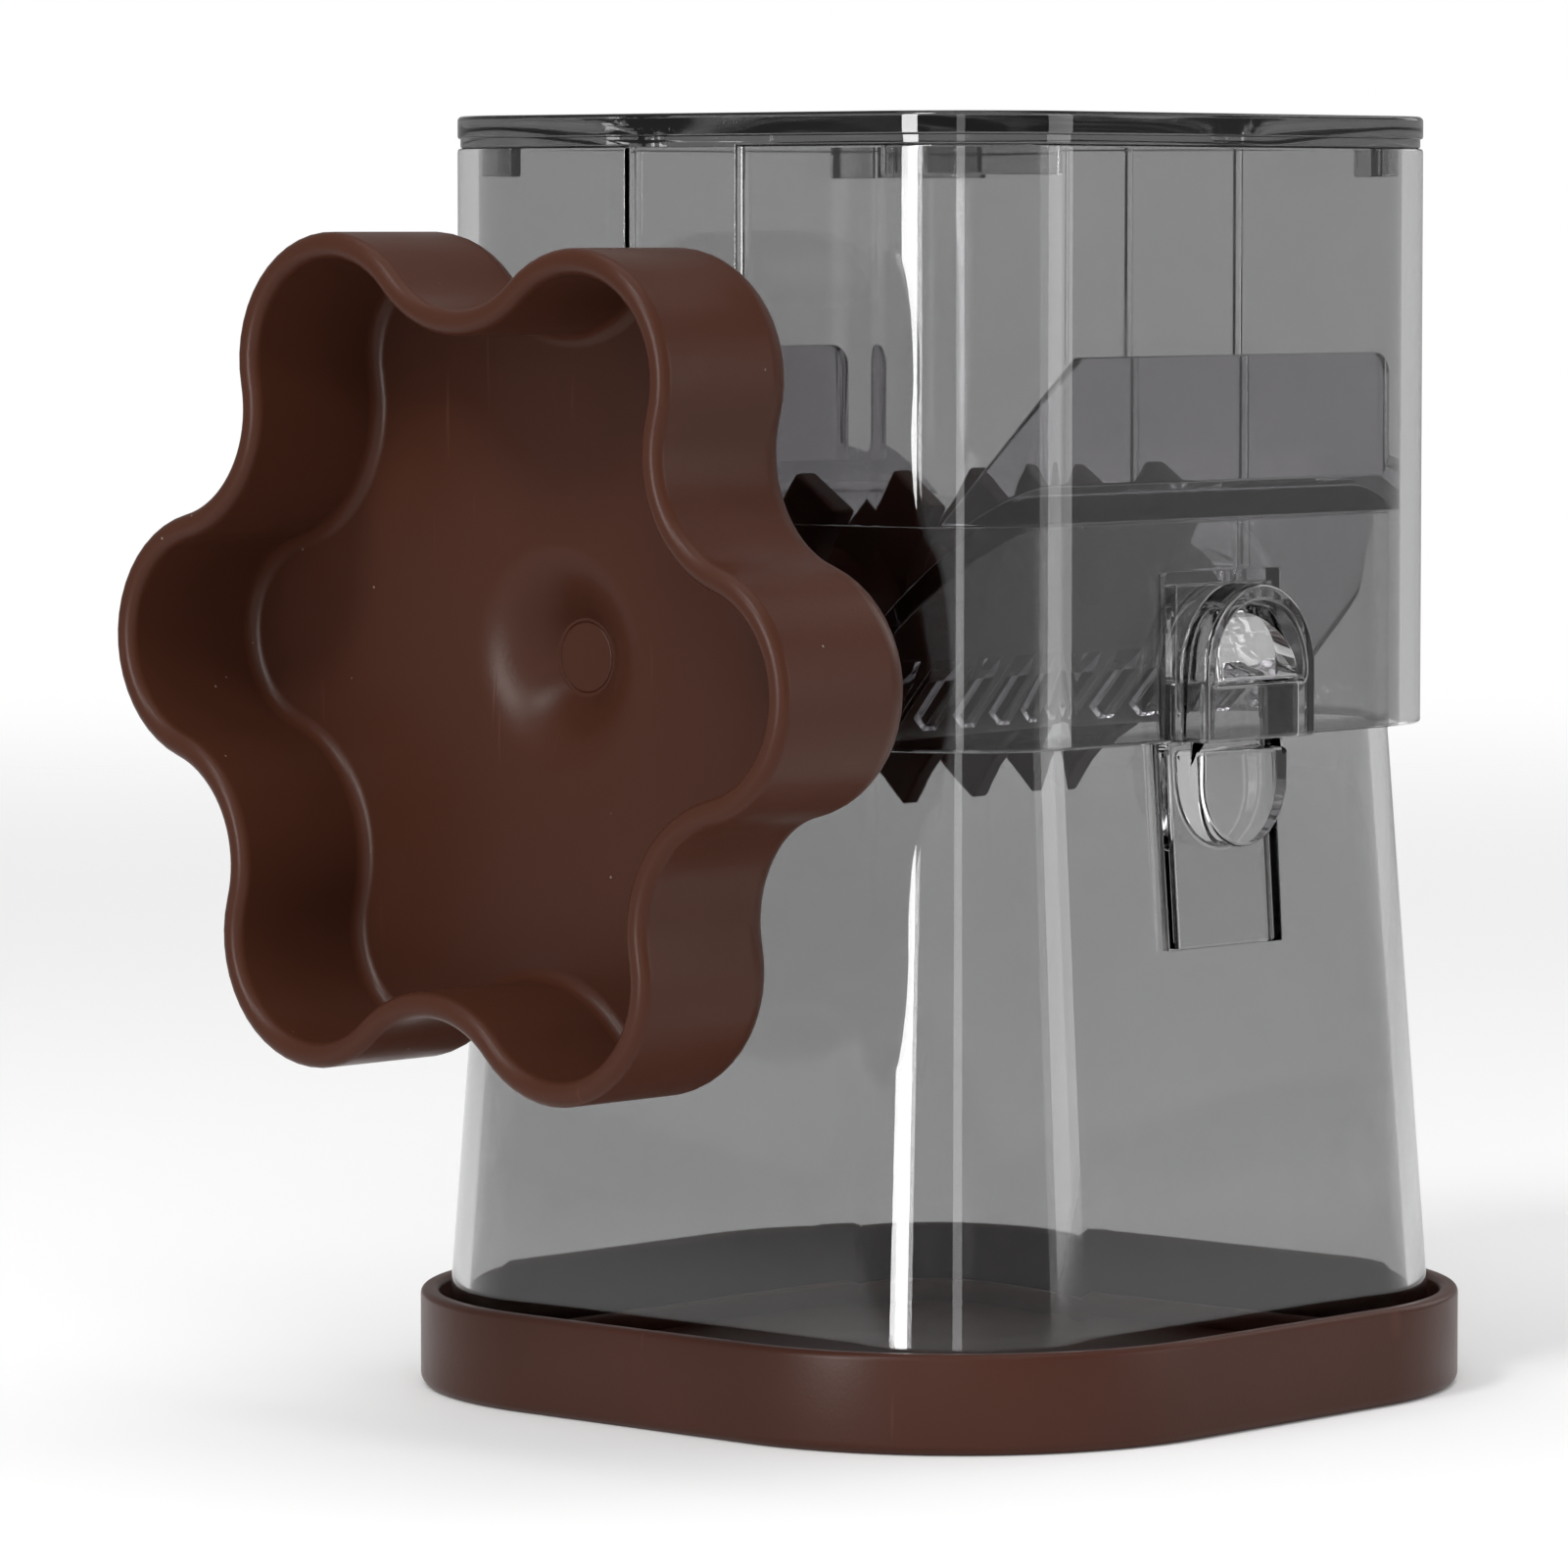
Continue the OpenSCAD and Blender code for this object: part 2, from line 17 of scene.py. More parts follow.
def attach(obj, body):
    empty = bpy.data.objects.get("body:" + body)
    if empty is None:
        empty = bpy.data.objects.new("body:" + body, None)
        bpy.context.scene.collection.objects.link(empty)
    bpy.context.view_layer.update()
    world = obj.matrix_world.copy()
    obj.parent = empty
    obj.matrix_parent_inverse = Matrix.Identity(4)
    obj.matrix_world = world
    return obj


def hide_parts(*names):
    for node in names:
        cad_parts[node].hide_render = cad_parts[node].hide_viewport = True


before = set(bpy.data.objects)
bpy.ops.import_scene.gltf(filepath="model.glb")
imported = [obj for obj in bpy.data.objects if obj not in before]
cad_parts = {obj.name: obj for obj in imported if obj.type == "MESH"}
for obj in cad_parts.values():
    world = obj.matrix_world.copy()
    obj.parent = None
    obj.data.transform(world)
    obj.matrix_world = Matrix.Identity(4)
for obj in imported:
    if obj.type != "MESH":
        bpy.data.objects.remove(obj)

log = logging.getLogger("nut_grinder")
BEVEL_WEIGHT = "bevel_weight_edge"
MM = 0.001
MERGE = 0.004 * MM
FLAT_ANGLE = radians(0.3)
SIDE_PIECES = 4
WHITE = (1.0, 1.0, 1.0, 1.0)

# Sizes and places that several pieces share
SHAFT_Z = 79.7 * MM
SHAFT_R = 5 * MM
NOSE_R = 3.6 * MM
SLOT_HALF = 7.8 * MM
SLOT_STEPS = 24
CORNER_STEPS = 24
HOPPER_HALF = 40.7 * MM
HOPPER_CORNER = 15 * MM
HOPPER_RIM = 131.6 * MM
WINDOW_LOW = 49 * MM
ARM_GAP = 0.15 * MM

# Above this height the container and its arms stand inside the hopper
INSIDE_Z = 71.6 * MM

Flat = tuple[float, float]
Point = tuple[float, float, float]
Colour = tuple[float, float, float]
Ring = list[Vector]
Solid = bpy.types.Object
Material = bpy.types.Material
Socket = bpy.types.NodeSocket


class Body(Enum):
    """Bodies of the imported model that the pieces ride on."""

    BASE = "base"
    HOUSING = "housing"
    LATCH_RIGHT = "latch_right"
    LATCH_LEFT = "latch_left"
    DRIVE = "drive"
    LID = "lid"


class Slot(Enum):
    """Material slots of the record."""

    CLEAR = "clear_plastic"
    LID = "lid_plastic"
    TRAY = "tray_brown"
    KNOB = "knob_brown"
    ROTOR = "rotor_brown"


# Nodes


class Field:
    """A socket of a node tree. Python's operators on it add Math nodes."""

    def __init__(self, tree: "Tree", socket: Socket) -> None:
        """Wraps an output socket of a tree."""
        self.tree = tree
        self.socket = socket

    def _maths(self, operation: str, *values: "Value") -> "Field":
        """Adds one Math node.

        Args:
            operation: the node's operation.
            values: its inputs, in order.

        Returns:
            The node's result.
        """
        inputs = dict(enumerate(values))
        node = self.tree.node("ShaderNodeMath", {"operation": operation}, inputs)
        return Field(self.tree, node.outputs[0])

    def __add__(self, other: "Value") -> "Field":
        """self + other"""
        return self._maths("ADD", self, other)

    __radd__ = __add__

    def __mul__(self, other: "Value") -> "Field":
        """self * other"""
        return self._maths("MULTIPLY", self, other)

    __rmul__ = __mul__

    def __sub__(self, other: "Value") -> "Field":
        """self - other"""
        return self._maths("SUBTRACT", self, other)

    def __rsub__(self, other: "Value") -> "Field":
        """other - self"""
        return self._maths("SUBTRACT", other, self)

    def ramp(self, low: float, high: float) -> "Field":
        """Runs smoothly from 0 at low to 1 at high.

        Args:
            low: the value that gives 0.
            high: the value that gives 1; it may be the lower of the two.

        Returns:
            The ramp as a field.
        """
        if low > high:
            return 1 - self.ramp(high, low)
        settings = {"interpolation_type": "SMOOTHSTEP"}
        node = self.tree.node("ShaderNodeMapRange", settings, {0: self, 1: low, 2: high})
        return Field(self.tree, node.outputs[0])


Value = Union[Field, Socket, float, Sequence[float]]


class Tree:
    """A node tree, with short ways to add nodes and to feed their sockets."""

    def __init__(self, tree: bpy.types.NodeTree) -> None:
        """Wraps a node tree."""
        self.tree = tree

    def node(
        self, kind: str, settings: Optional[dict] = None, inputs: Optional[dict] = None
    ) -> bpy.types.Node:
        """Adds a node.

        Args:
            kind: the node's type.
            settings: properties, which are set before the sockets.
            inputs: values or links, by socket name or number.

        Returns:
            The new node.
        """
        node = self.tree.nodes.new(kind)
        for name, value in (settings or {}).items():
            setattr(node, name, value)
        for name, value in (inputs or {}).items():
            self.feed(node.inputs[name], value)
        return node

    def feed(self, socket: Socket, value: Value) -> None:
        """Links or sets one input socket.

        Args:
            socket: the input.
            value: what it gets.
        """
        if isinstance(value, Field):
            value = value.socket
        if isinstance(value, Socket):
            self.tree.links.new(value, socket)
        else:
            socket.default_value = value

    def vector(self, **parts: Value) -> Socket:
        """Combines parts named X, Y and Z into a vector."""
        return self.node("ShaderNodeCombineXYZ", inputs=parts).outputs[0]


class Shader(Tree):
    """A material with one Principled surface, and short ways to shade it."""

    def __init__(self, name: str) -> None:
        """Starts an empty material of that name.

        Args:
            name: the material's name.
        """
        self.material = bpy.data.materials.new(name)
        self.material.use_nodes = True
        super().__init__(self.material.node_tree)
        self.tree.nodes.clear()
        self.surface = self.node("ShaderNodeBsdfPrincipled")
        self.node("ShaderNodeOutputMaterial", inputs={"Surface": self.surface.outputs[0]})
        self.place = self.node("ShaderNodeTexCoord").outputs["Object"]

    def set(self, **values: Value) -> None:
        """Sets sockets of the surface, named with _ for a space."""
        for name, value in values.items():
            self.feed(self.surface.inputs[name.replace("_", " ")], value)

    def noise(self, scale: float, detail: float = 2, stretch: Optional[Point] = None) -> Field:
        """Noise on the piece's own coordinates.

        Args:
            scale: waves per metre.
            detail: how many finer layers are added.
            stretch: scale along each axis, where the noise runs in streaks.

        Returns:
            A field about 0.5.
        """
        place = self.place
        if stretch:
            place = self.node("ShaderNodeMapping", inputs={"Vector": place, "Scale": stretch}).outputs[0]
        inputs = {"Vector": place, "Scale": scale, "Detail": detail}
        return Field(self, self.node("ShaderNodeTexNoise", inputs=inputs).outputs[0])

    def specks(self, scale: float, size: float) -> Field:
        """Small round specks.

        Args:
            scale: cells per metre.
            size: a speck's radius as a share of its cell.

        Returns:
            1 in a speck, 0 elsewhere.
        """
        inputs = {"Vector": self.place, "Scale": scale}
        node = self.node("ShaderNodeTexVoronoi", inputs=inputs)
        return Field(self, node.outputs["Distance"]).ramp(size, size / 2)

    def height(self, vector: Socket) -> Field:
        """The Z part of a vector."""
        return Field(self, self.node("ShaderNodeSeparateXYZ", inputs={0: vector}).outputs["Z"])

    def above(self, z: float, blend: float) -> Field:
        """1 above the height z and 0 below it, blended over a short way up and down."""
        return self.height(self.place).ramp(z - blend, z + blend)

    def sideways(self) -> Field:
        """1 where the surface stands upright, 0 where it lies level.

        Returns:
            The mask as a field.
        """
        lying_share, standing_share = 0.6, 0.2
        up = self.height(self.node("ShaderNodeNewGeometry").outputs["Normal"])
        return (up * up).ramp(lying_share, standing_share)

    def mix(self, share: Value, one: Value, other: Value) -> Socket:
        """Mixes two colours.

        Args:
            share: 0 gives the first colour, 1 the second, as a number or a mask.
            one: the first colour.
            other: the second colour.

        Returns:
            The mixed colour.
        """
        colours = [(*c, 1.0) if isinstance(c, tuple) else c for c in (one, other)]
        inputs = {0: share, 6: colours[0], 7: colours[1]}
        return self.node("ShaderNodeMix", {"data_type": "RGBA"}, inputs).outputs[2]

    def cloudy(self, colour: Colour, swing: float, scale: float) -> Socket:
        """A colour whose tone swings to both sides, in clouds of a scale in waves per metre."""
        return self.mix(self.noise(scale, detail=3), shade(colour, 1 - swing), shade(colour, 1 + swing))

    def bump(self, *layers: tuple[Field, float]) -> None:
        """Chains bumps into the surface's Normal.

        Args:
            layers: pairs of a height from 0 to 1 and what 1 means in metres.
        """
        normal = None
        for height, depth in layers:
            inputs = {"Height": height, "Distance": depth, "Strength": 1.0}
            if normal is not None:
                inputs["Normal"] = normal
            normal = self.node("ShaderNodeBump", inputs=inputs).outputs[0]
        self.feed(self.surface.inputs["Normal"], normal)


def shade(colour: Colour, by: float) -> Colour:
    """The colour made lighter or darker by a factor."""
    return (colour[0] * by, colour[1] * by, colour[2] * by)


@dataclass(frozen=True)
class BrownFinish:
    """Moulded brown plastic with a fine satin grain.

    Attributes:
        name: the material's name.
        colour: linear base colour.
        roughness: mean roughness.
        shine: specular level.
        rough_swing, cloud_swing: how far the roughness and the tone drift.
        worn_tone, worn_share: a scratch's tone and how much of it shows.
        worn_rough: what a scratch adds to the roughness.
        dust_colour, dust_share: the dust's colour and how much of it shows.
        grain: depth of the grain.
        uneven_share: depth of the slower unevenness, as a share of the grain.
    """

    name: str
    colour: Colour
    roughness: float = 0.34
    shine: float = 0.11
    rough_swing: float = 0.16
    cloud_swing: float = 0.14
    worn_tone: float = 2.2
    worn_share: float = 0.30
    worn_rough: float = 0.10
    dust_colour: Colour = (0.42, 0.36, 0.32)
    dust_share: float = 0.55
    grain: float = 0.012 * MM
    uneven_share: float = 2.2

    def material(self) -> Material:
        """Builds the material.

        Returns:
            The new material.
        """
        s = Shader(self.name)
        drift = s.noise(scale=120, detail=3) - 0.5
        grain = s.noise(scale=2600)
        uneven = s.noise(scale=260)
        scratch = s.noise(scale=900, stretch=(1.0, 0.12, 0.05)).ramp(low=0.70, high=0.80)
        dust = s.specks(scale=260, size=0.045) * s.noise(scale=90).ramp(low=0.50, high=0.62)
        body = s.cloudy(self.colour, self.cloud_swing, scale=38)
        worn = s.mix(scratch * self.worn_share, body, shade(self.colour, self.worn_tone))
        s.set(
            Base_Color=s.mix(dust * self.dust_share, worn, self.dust_colour),
            Roughness=self.roughness + drift * self.rough_swing + scratch * self.worn_rough,
            Specular_IOR_Level=self.shine,
        )
        s.bump((grain, self.grain), (uneven, self.grain * self.uneven_share), (scratch, -self.grain))
        return s.material


@dataclass(frozen=True)
class ClearFinish:
    """Clear moulded plastic with a smoke tint, faint waves and a little dust, and, where asked, painted
    shade on its upright faces.

    Attributes:
        name: the material's name.
        tint: share of light that one wall lets through.
        inner_tint: the same above inner_z, where a wall stands inside another.
        inner_z: height above which the inner tint holds, or None for nowhere.
        painted_edge_shade: painted shade on the faces that look sideways above edge_z, a dark colour that
            stands in for the dark look of a clear plate's edge, or None for none.
        edge_z: height above which the painted edge shade holds.
        ior: index of refraction.
        polish: roughness where the surface is clean.
        smear_rough, scratch_rough, dust_rough: what each adds to the roughness.
        cloud_swing: how far the tint drifts.
        dust_tone: the dust's colour as a share of the tint.
        wave, scratch_depth: depth of the slow waves and of the scratches.
        blend, edge_blend: how far up and down the change to the inner tint and the painted edge shade
            spread.
    """

    name: str
    tint: Colour
    inner_tint: Colour = (0.96, 0.96, 0.96)
    inner_z: Optional[float] = None
    painted_edge_shade: Optional[Colour] = None
    edge_z: float = 0.0
    ior: float = 1.46
    polish: float = 0.012
    smear_rough: float = 0.03
    scratch_rough: float = 0.12
    dust_rough: float = 0.4
    cloud_swing: float = 0.05
    dust_tone: float = 0.25
    wave: float = 0.05 * MM
    scratch_depth: float = 0.004 * MM
    blend: float = 0.3 * MM
    edge_blend: float = 0.1 * MM

    def _body(self, s: Shader) -> Socket:
        """The tint with its clouds, with the parts that have a tint of their own, and with the painted edge
        shade.

        Args:
            s: the material's shader.

        Returns:
            The colour of the clean plastic.
        """
        body = s.cloudy(self.tint, self.cloud_swing, scale=26)
        if self.inner_z is not None:
            body = s.mix(s.above(self.inner_z, self.blend), body, self.inner_tint)
        # Painted shade: above edge_z the sideways faces get a dark colour, standing in for the dark look of
        # a clear plate's edge
        if self.painted_edge_shade is not None:
            body = s.mix(s.sideways() * s.above(self.edge_z, self.edge_blend), body, self.painted_edge_shade)
        return body

    def material(self) -> Material:
        """Builds the material.

        Returns:
            The new material.
        """
        s = Shader(self.name)
        waves = s.noise(scale=32, detail=1)
        smear = s.noise(scale=70).ramp(low=0.45, high=0.8)
        scratch = s.noise(scale=420, stretch=(1.0, 1.0, 0.06)).ramp(low=0.76, high=0.82)
        dust = s.specks(scale=120, size=0.022) * s.noise(scale=50).ramp(low=0.52, high=0.60)
        marks = smear * self.smear_rough + scratch * self.scratch_rough + dust * self.dust_rough
        s.set(
            Base_Color=s.mix(dust, self._body(s), shade(self.tint, self.dust_tone)),
            Roughness=self.polish + marks,
            Transmission_Weight=1.0,
            IOR=self.ior,
        )
        s.bump((waves, self.wave), (scratch, -self.scratch_depth))
        return s.material


# Meshes


def ring(half: float, corner: float, z: float, steps: int) -> Ring:
    """A square with round corners, counterclockwise at height z.

    Args:
        half: half the width over the flat sides.
        corner: corner radius.
        z: height of the ring.
        steps: pieces in each corner's arc.

    Returns:
        The ring's points.
    """
    reach = (half - corner) * sqrt(2)
    c, s = cos(pi / 4), sin(pi / 4)
    corners = []
    for quarter in range(4):
        turn = quarter * pi / 2
        for i in range(steps + 1):
            angle = turn - pi / 4 + (i / steps) * pi / 2
            x = reach * cos(turn) + corner * cos(angle)
            y = reach * sin(turn) + corner * sin(angle)
            corners.append((x * c - y * s, x * s + y * c))
    points = []
    for i, (x, y) in enumerate(corners):
        points.append(Vector((x, y, z)))
        if i % (steps + 1) == steps:
            nx, ny = corners[(i + 1) % len(corners)]
            n = SIDE_PIECES
            points += [Vector((x + (nx - x) * k / n, y + (ny - y) * k / n, z)) for k in range(1, n)]
    return points


def loft(name: str, rings: Sequence[Ring], closed: bool = False) -> Solid:
    """Skins a row of rings with the same number of points.

    Args:
        name: the object's name.
        rings: the rings, in order.
        closed: True joins the last ring to the first; False caps both.

    Returns:
        The new object, with its faces pointing outwards.
    """
    bm = bmesh.new()
    rows = [[bm.verts.new(p) for p in points] for points in rings]
    pairs = list(zip(rows, rows[1:] + rows[:1])) if closed else list(zip(rows, rows[1:]))
    for low, high in pairs:
        for i, a in enumerate(low):
            j = (i + 1) % len(low)
            bm.faces.new((a, low[j], high[j], high[i]))
    if not closed:
        bm.faces.new(list(reversed(rows[0])))
        bm.faces.new(rows[-1])
    bmesh.ops.recalc_face_normals(bm, faces=bm.faces)
    return placed(name, bm)


def added(name: str, data: bpy.types.ID) -> Solid:
    """Adds an object with that data to the scene.

    Args:
        name: the object's name.
        data: its mesh, lamp or camera.

    Returns:
        The new object.
    """
    thing = bpy.data.objects.new(name, data)
    bpy.context.scene.collection.objects.link(thing)
    return thing


def placed(name: str, bm: bmesh.types.BMesh) -> Solid:
    """Turns a bmesh into a smooth shaded object of the scene and frees it.

    Args:
        name: the object's name.
        bm: its shape, which is freed.

    Returns:
        The new object.
    """
    mesh = bpy.data.meshes.new(name)
    bm.to_mesh(mesh)
    bm.free()
    mesh.shade_smooth()
    return added(name, mesh)


def prism(
    name: str, points: Sequence[Flat], near: float, far: float, lay: Callable[..., Point]
) -> Solid:
    """Extrudes an outline.

    Args:
        name: the object's name.
        points: the outline in its own plane.
        near: where the extrusion starts.
        far: where it ends.
        lay: puts a point of the plane at a depth in place.

    Returns:
        The new object.
    """
    ends = [[Vector(lay(u, v, depth)) for u, v in points] for depth in (near, far)]
    return loft(name, ends)


def along_y(u: float, v: float, depth: float) -> Point:
    """Lays an outline in X and Z, with its depth along Y."""
    return (u, depth, v)


def along_x(u: float, v: float, depth: float) -> Point:
    """Lays an outline in Y and Z, with its depth along X."""
    return (depth, u, v)


def settled(thing: Solid) -> Solid:
    """Replaces an object's mesh and modifiers by what they evaluate to.

    Args:
        thing: the object.

    Returns:
        The same object.
    """
    graph = bpy.context.evaluated_depsgraph_get()
    mesh = bpy.data.meshes.new_from_object(thing.evaluated_get(graph))
    thing.modifiers.clear()
    thing.data = mesh
    return thing


def carved(thing: Solid, *others: Solid, how: str = "DIFFERENCE") -> Solid:
    """Cuts other solids out of one, or joins them to it, and deletes them.

    Args:
        thing: the solid to change.
        others: the solids to cut away or to add.
        how: DIFFERENCE or UNION.

    Returns:
        The changed solid.
    """
    for other in others:
        cut = thing.modifiers.new("cut", "BOOLEAN")
        cut.operation = how
        cut.solver = "EXACT"
        cut.object = other
        settled(thing)
        bpy.data.objects.remove(other)
    return thing


def evened(thing: Solid, crease: float = 38) -> Solid:
    """Gives each face corner the mean normal of the faces round it that turn less than a crease.

    Args:
        thing: the object.
        crease: degrees past which two faces keep a sharp edge.

    Returns:
        The same object.
    """
    mesh = thing.data
    mesh.shade_smooth()
    around: list[list[bpy.types.MeshPolygon]] = [[] for _ in mesh.vertices]
    for face in mesh.polygons:
        for v in face.vertices:
            around[v].append(face)
    limit = cos(radians(crease))
    normals = []
    for face in mesh.polygons:
        for v in face.vertices:
            near = [other for other in around[v] if other.normal.dot(face.normal) > limit]
            total = sum((other.normal * other.area for other in near), Vector())
            normals.append(total.normalized() if total.length > 0 else face.normal)
    mesh.normals_split_custom_set(normals)
    return thing


def eased(
    thing: Solid,
    width: float,
    segments: int = 2,
    angle: float = 32,
    spared: Optional[Callable[[Vector], bool]] = None,
) -> Solid:
    """Rounds a solid's sharp edges and evens out its shading.

    Args:
        thing: the solid.
        width: width of the rounding.
        segments: steps in the rounding.
        angle: edges sharper than this many degrees are rounded.
        spared: says of an edge's middle whether the edge stays sharp.

    Returns:
        The same object, finished.
    """
    bm = bmesh.new()
    bm.from_mesh(thing.data)
    bmesh.ops.remove_doubles(bm, verts=bm.verts, dist=MERGE)
    bmesh.ops.dissolve_degenerate(bm, edges=bm.edges, dist=MERGE)
    bmesh.ops.dissolve_limit(bm, angle_limit=FLAT_ANGLE, verts=bm.verts, edges=bm.edges)
    weight = bm.edges.layers.float.new(BEVEL_WEIGHT)
    for edge in bm.edges:
        middle = (edge.verts[0].co + edge.verts[1].co) / 2
        sharp = edge.calc_face_angle(0) > radians(angle)
        edge[weight] = 1.0 if sharp and not (spared and spared(middle)) else 0.0
    bm.to_mesh(thing.data)
    bm.free()
    bevel = thing.modifiers.new("ease", "BEVEL")
    bevel.width = width
    bevel.segments = segments
    bevel.limit_method = "WEIGHT"
    bevel.use_clamp_overlap = False
    bevel.miter_outer = "MITER_ARC"
    mesh = settled(thing).data
    if BEVEL_WEIGHT in mesh.attributes:
        mesh.attributes.remove(mesh.attributes[BEVEL_WEIGHT])
    return evened(thing)


def turned(
    name: str, profile: Sequence[Flat], closed: bool = False, steps: int = 96, edge: float = 0.05 * MM
) -> Solid:
    """Turns a profile about the shaft's line.

    Args:
        name: the object's name.
        profile: pairs of a radius and a distance towards the knob.
        closed: True joins the profile's ends; False caps them.
        steps: pieces round the turn.
        edge: width of the rounding of its edges.

    Returns:
        The new object.
    """
    turns = [2 * pi * i / steps for i in range(steps)]
    rings = [[Vector((r * cos(t), -along, SHAFT_Z + r * sin(t))) for t in turns]
             for r, along in profile]
    return eased(loft(name, rings, closed), edge, segments=1, angle=60)


def cad_copy(node: str, name: str) -> Solid:
    """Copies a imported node's mesh without its UVs and its own normals.

    Args:
        node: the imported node.
        name: the copy's name.

    Returns:
        The copy.
    """
    bm = bmesh.new()
    bm.from_mesh(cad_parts[node].data)
    for layers in (bm.loops.layers.float_vector, bm.loops.layers.uv):
        for layer in list(layers.values()):
            layers.remove(layer)
    copy = placed(name, bm)
    if "custom_normal" in copy.data.attributes:
        copy.data.attributes.remove(copy.data.attributes["custom_normal"])
    return copy


def dress(thing: Solid, body: Body, slot: Slot, material: Material, *nodes: str) -> None:
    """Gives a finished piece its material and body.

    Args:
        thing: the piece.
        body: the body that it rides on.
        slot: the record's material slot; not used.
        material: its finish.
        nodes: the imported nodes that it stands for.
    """
    thing.data.materials.clear()
    thing.data.materials.append(material)
    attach(thing, body.value)
    if nodes:
        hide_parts(*nodes)
    log.info("%s: %d faces on %s", thing.name, len(thing.data.polygons), body.value)


def arc(x: float, z: float, r: float, start: float, end: float, steps: int) -> list[Flat]:
    """Points round an arc.

    Args:
        x, z: the arc's middle.
        r: radius.
        start, end: first and last angle in degrees.
        steps: pieces in the arc.

    Returns:
        The points, both ends among them.
    """
    turns = [radians(start + (end - start) * i / steps) for i in range(steps + 1)]
    return [(x + r * cos(t), z + r * sin(t)) for t in turns]


def rim(top: float, wall: float, r: float, steps: int) -> list[Flat]:
    """Points over a wall's rounded top, from its outer face at 0 to its inner face."""
    return arc(-r, top - r, r, 0, 90, steps) + arc(r - wall, top - r, r, 90, 180, steps)


def upright(half: float, low: float, high: float) -> list[Flat]:
    """The corners of a rectangle that stands about the middle line."""
    return [(-half, low), (half, low), (half, high), (-half, high)]


def slot_cut(far: float, top: float) -> Solid:
    """Builds the solid that opens the shaft's slots, as far to the front as to the back, up to a top."""
    sides = arc(0, SHAFT_Z, SLOT_HALF, 180, 360, SLOT_STEPS) + [(SLOT_HALF, top), (-SLOT_HALF, top)]
    return prism("slot_cut", sides, -far, far, along_y)


# Sub-assemblies


@dataclass
class Tray:
    """Brown tray that the container stands in.

    Attributes:
        half, corner: half the width over the flat sides, and the outside corner radius.
        height: height of the rim's top.
        wall, floor: thickness of the rim and of the floor.
        bevel: rounding along the foot.
        rim_round: rounding of the rim's top.
        fillet: rounding between the floor and the rim.
        lip_half, lip_corner, lip_wall, lip_height, lip_round: sizes of the low lip on the floor.
        corner_steps, bevel_steps, round_steps, lip_steps: pieces in the arcs.
    """

    half: float = 49 * MM
    corner: float = 33 * MM
    height: float = 10.3 * MM
    wall: float = 2 * MM
    floor: float = 2 * MM
    bevel: float = 1.2 * MM
    rim_round: float = 0.7 * MM
    fillet: float = 0.8 * MM
    lip_half: float = 39.97 * MM
    lip_corner: float = 15.2 * MM
    lip_wall: float = 1.6 * MM
    lip_height: float = 2.4 * MM
    lip_round: float = 0.4 * MM
    corner_steps: int = 32
    bevel_steps: int = 6
    round_steps: int = 5
    lip_steps: int = 3

    def _ring(self, inset: float, z: float) -> Ring:
        """The tray's outline, drawn in by an inset."""
        return ring(self.half - inset, self.corner - inset, z, self.corner_steps)

    def shell(self) -> Solid:
        """Builds the tray's floor and rim as one solid.

        Returns:
            The tray without its lip.
        """
        b, f = self.bevel, self.fillet
        levels = arc(-b, b, b, -90, 0, self.bevel_steps)
        levels += rim(self.height, self.wall, self.rim_round, self.round_steps)
        levels += arc(-self.wall - f, self.floor + f, f, 0, -90, self.round_steps)
        return loft("tray", [self._ring(-x, z) for x, z in levels])

    def lip(self) -> Solid:
        """Builds the low lip that centres the container.

        Returns:
            The lip as a solid of its own.
        """
        low, top = self.floor - self.fillet, self.floor + self.lip_height
        levels = rim(top, self.lip_wall, self.lip_round, self.lip_steps)
        levels = [(0.0, low)] + levels + [(-self.lip_wall, low)]
        rings = [ring(self.lip_half + x, self.lip_corner + x, z, self.corner_steps) for x, z in levels]
        return loft("tray_lip", rings, closed=True)

    def build(self, finish: BrownFinish) -> None:
        """Builds and dresses the tray.

        Args:
            finish: the tray's plastic.
        """
        material = finish.material()
        dress(self.shell(), Body.BASE, Slot.TRAY, material, "base_tray")
        dress(self.lip(), Body.BASE, Slot.TRAY, material)


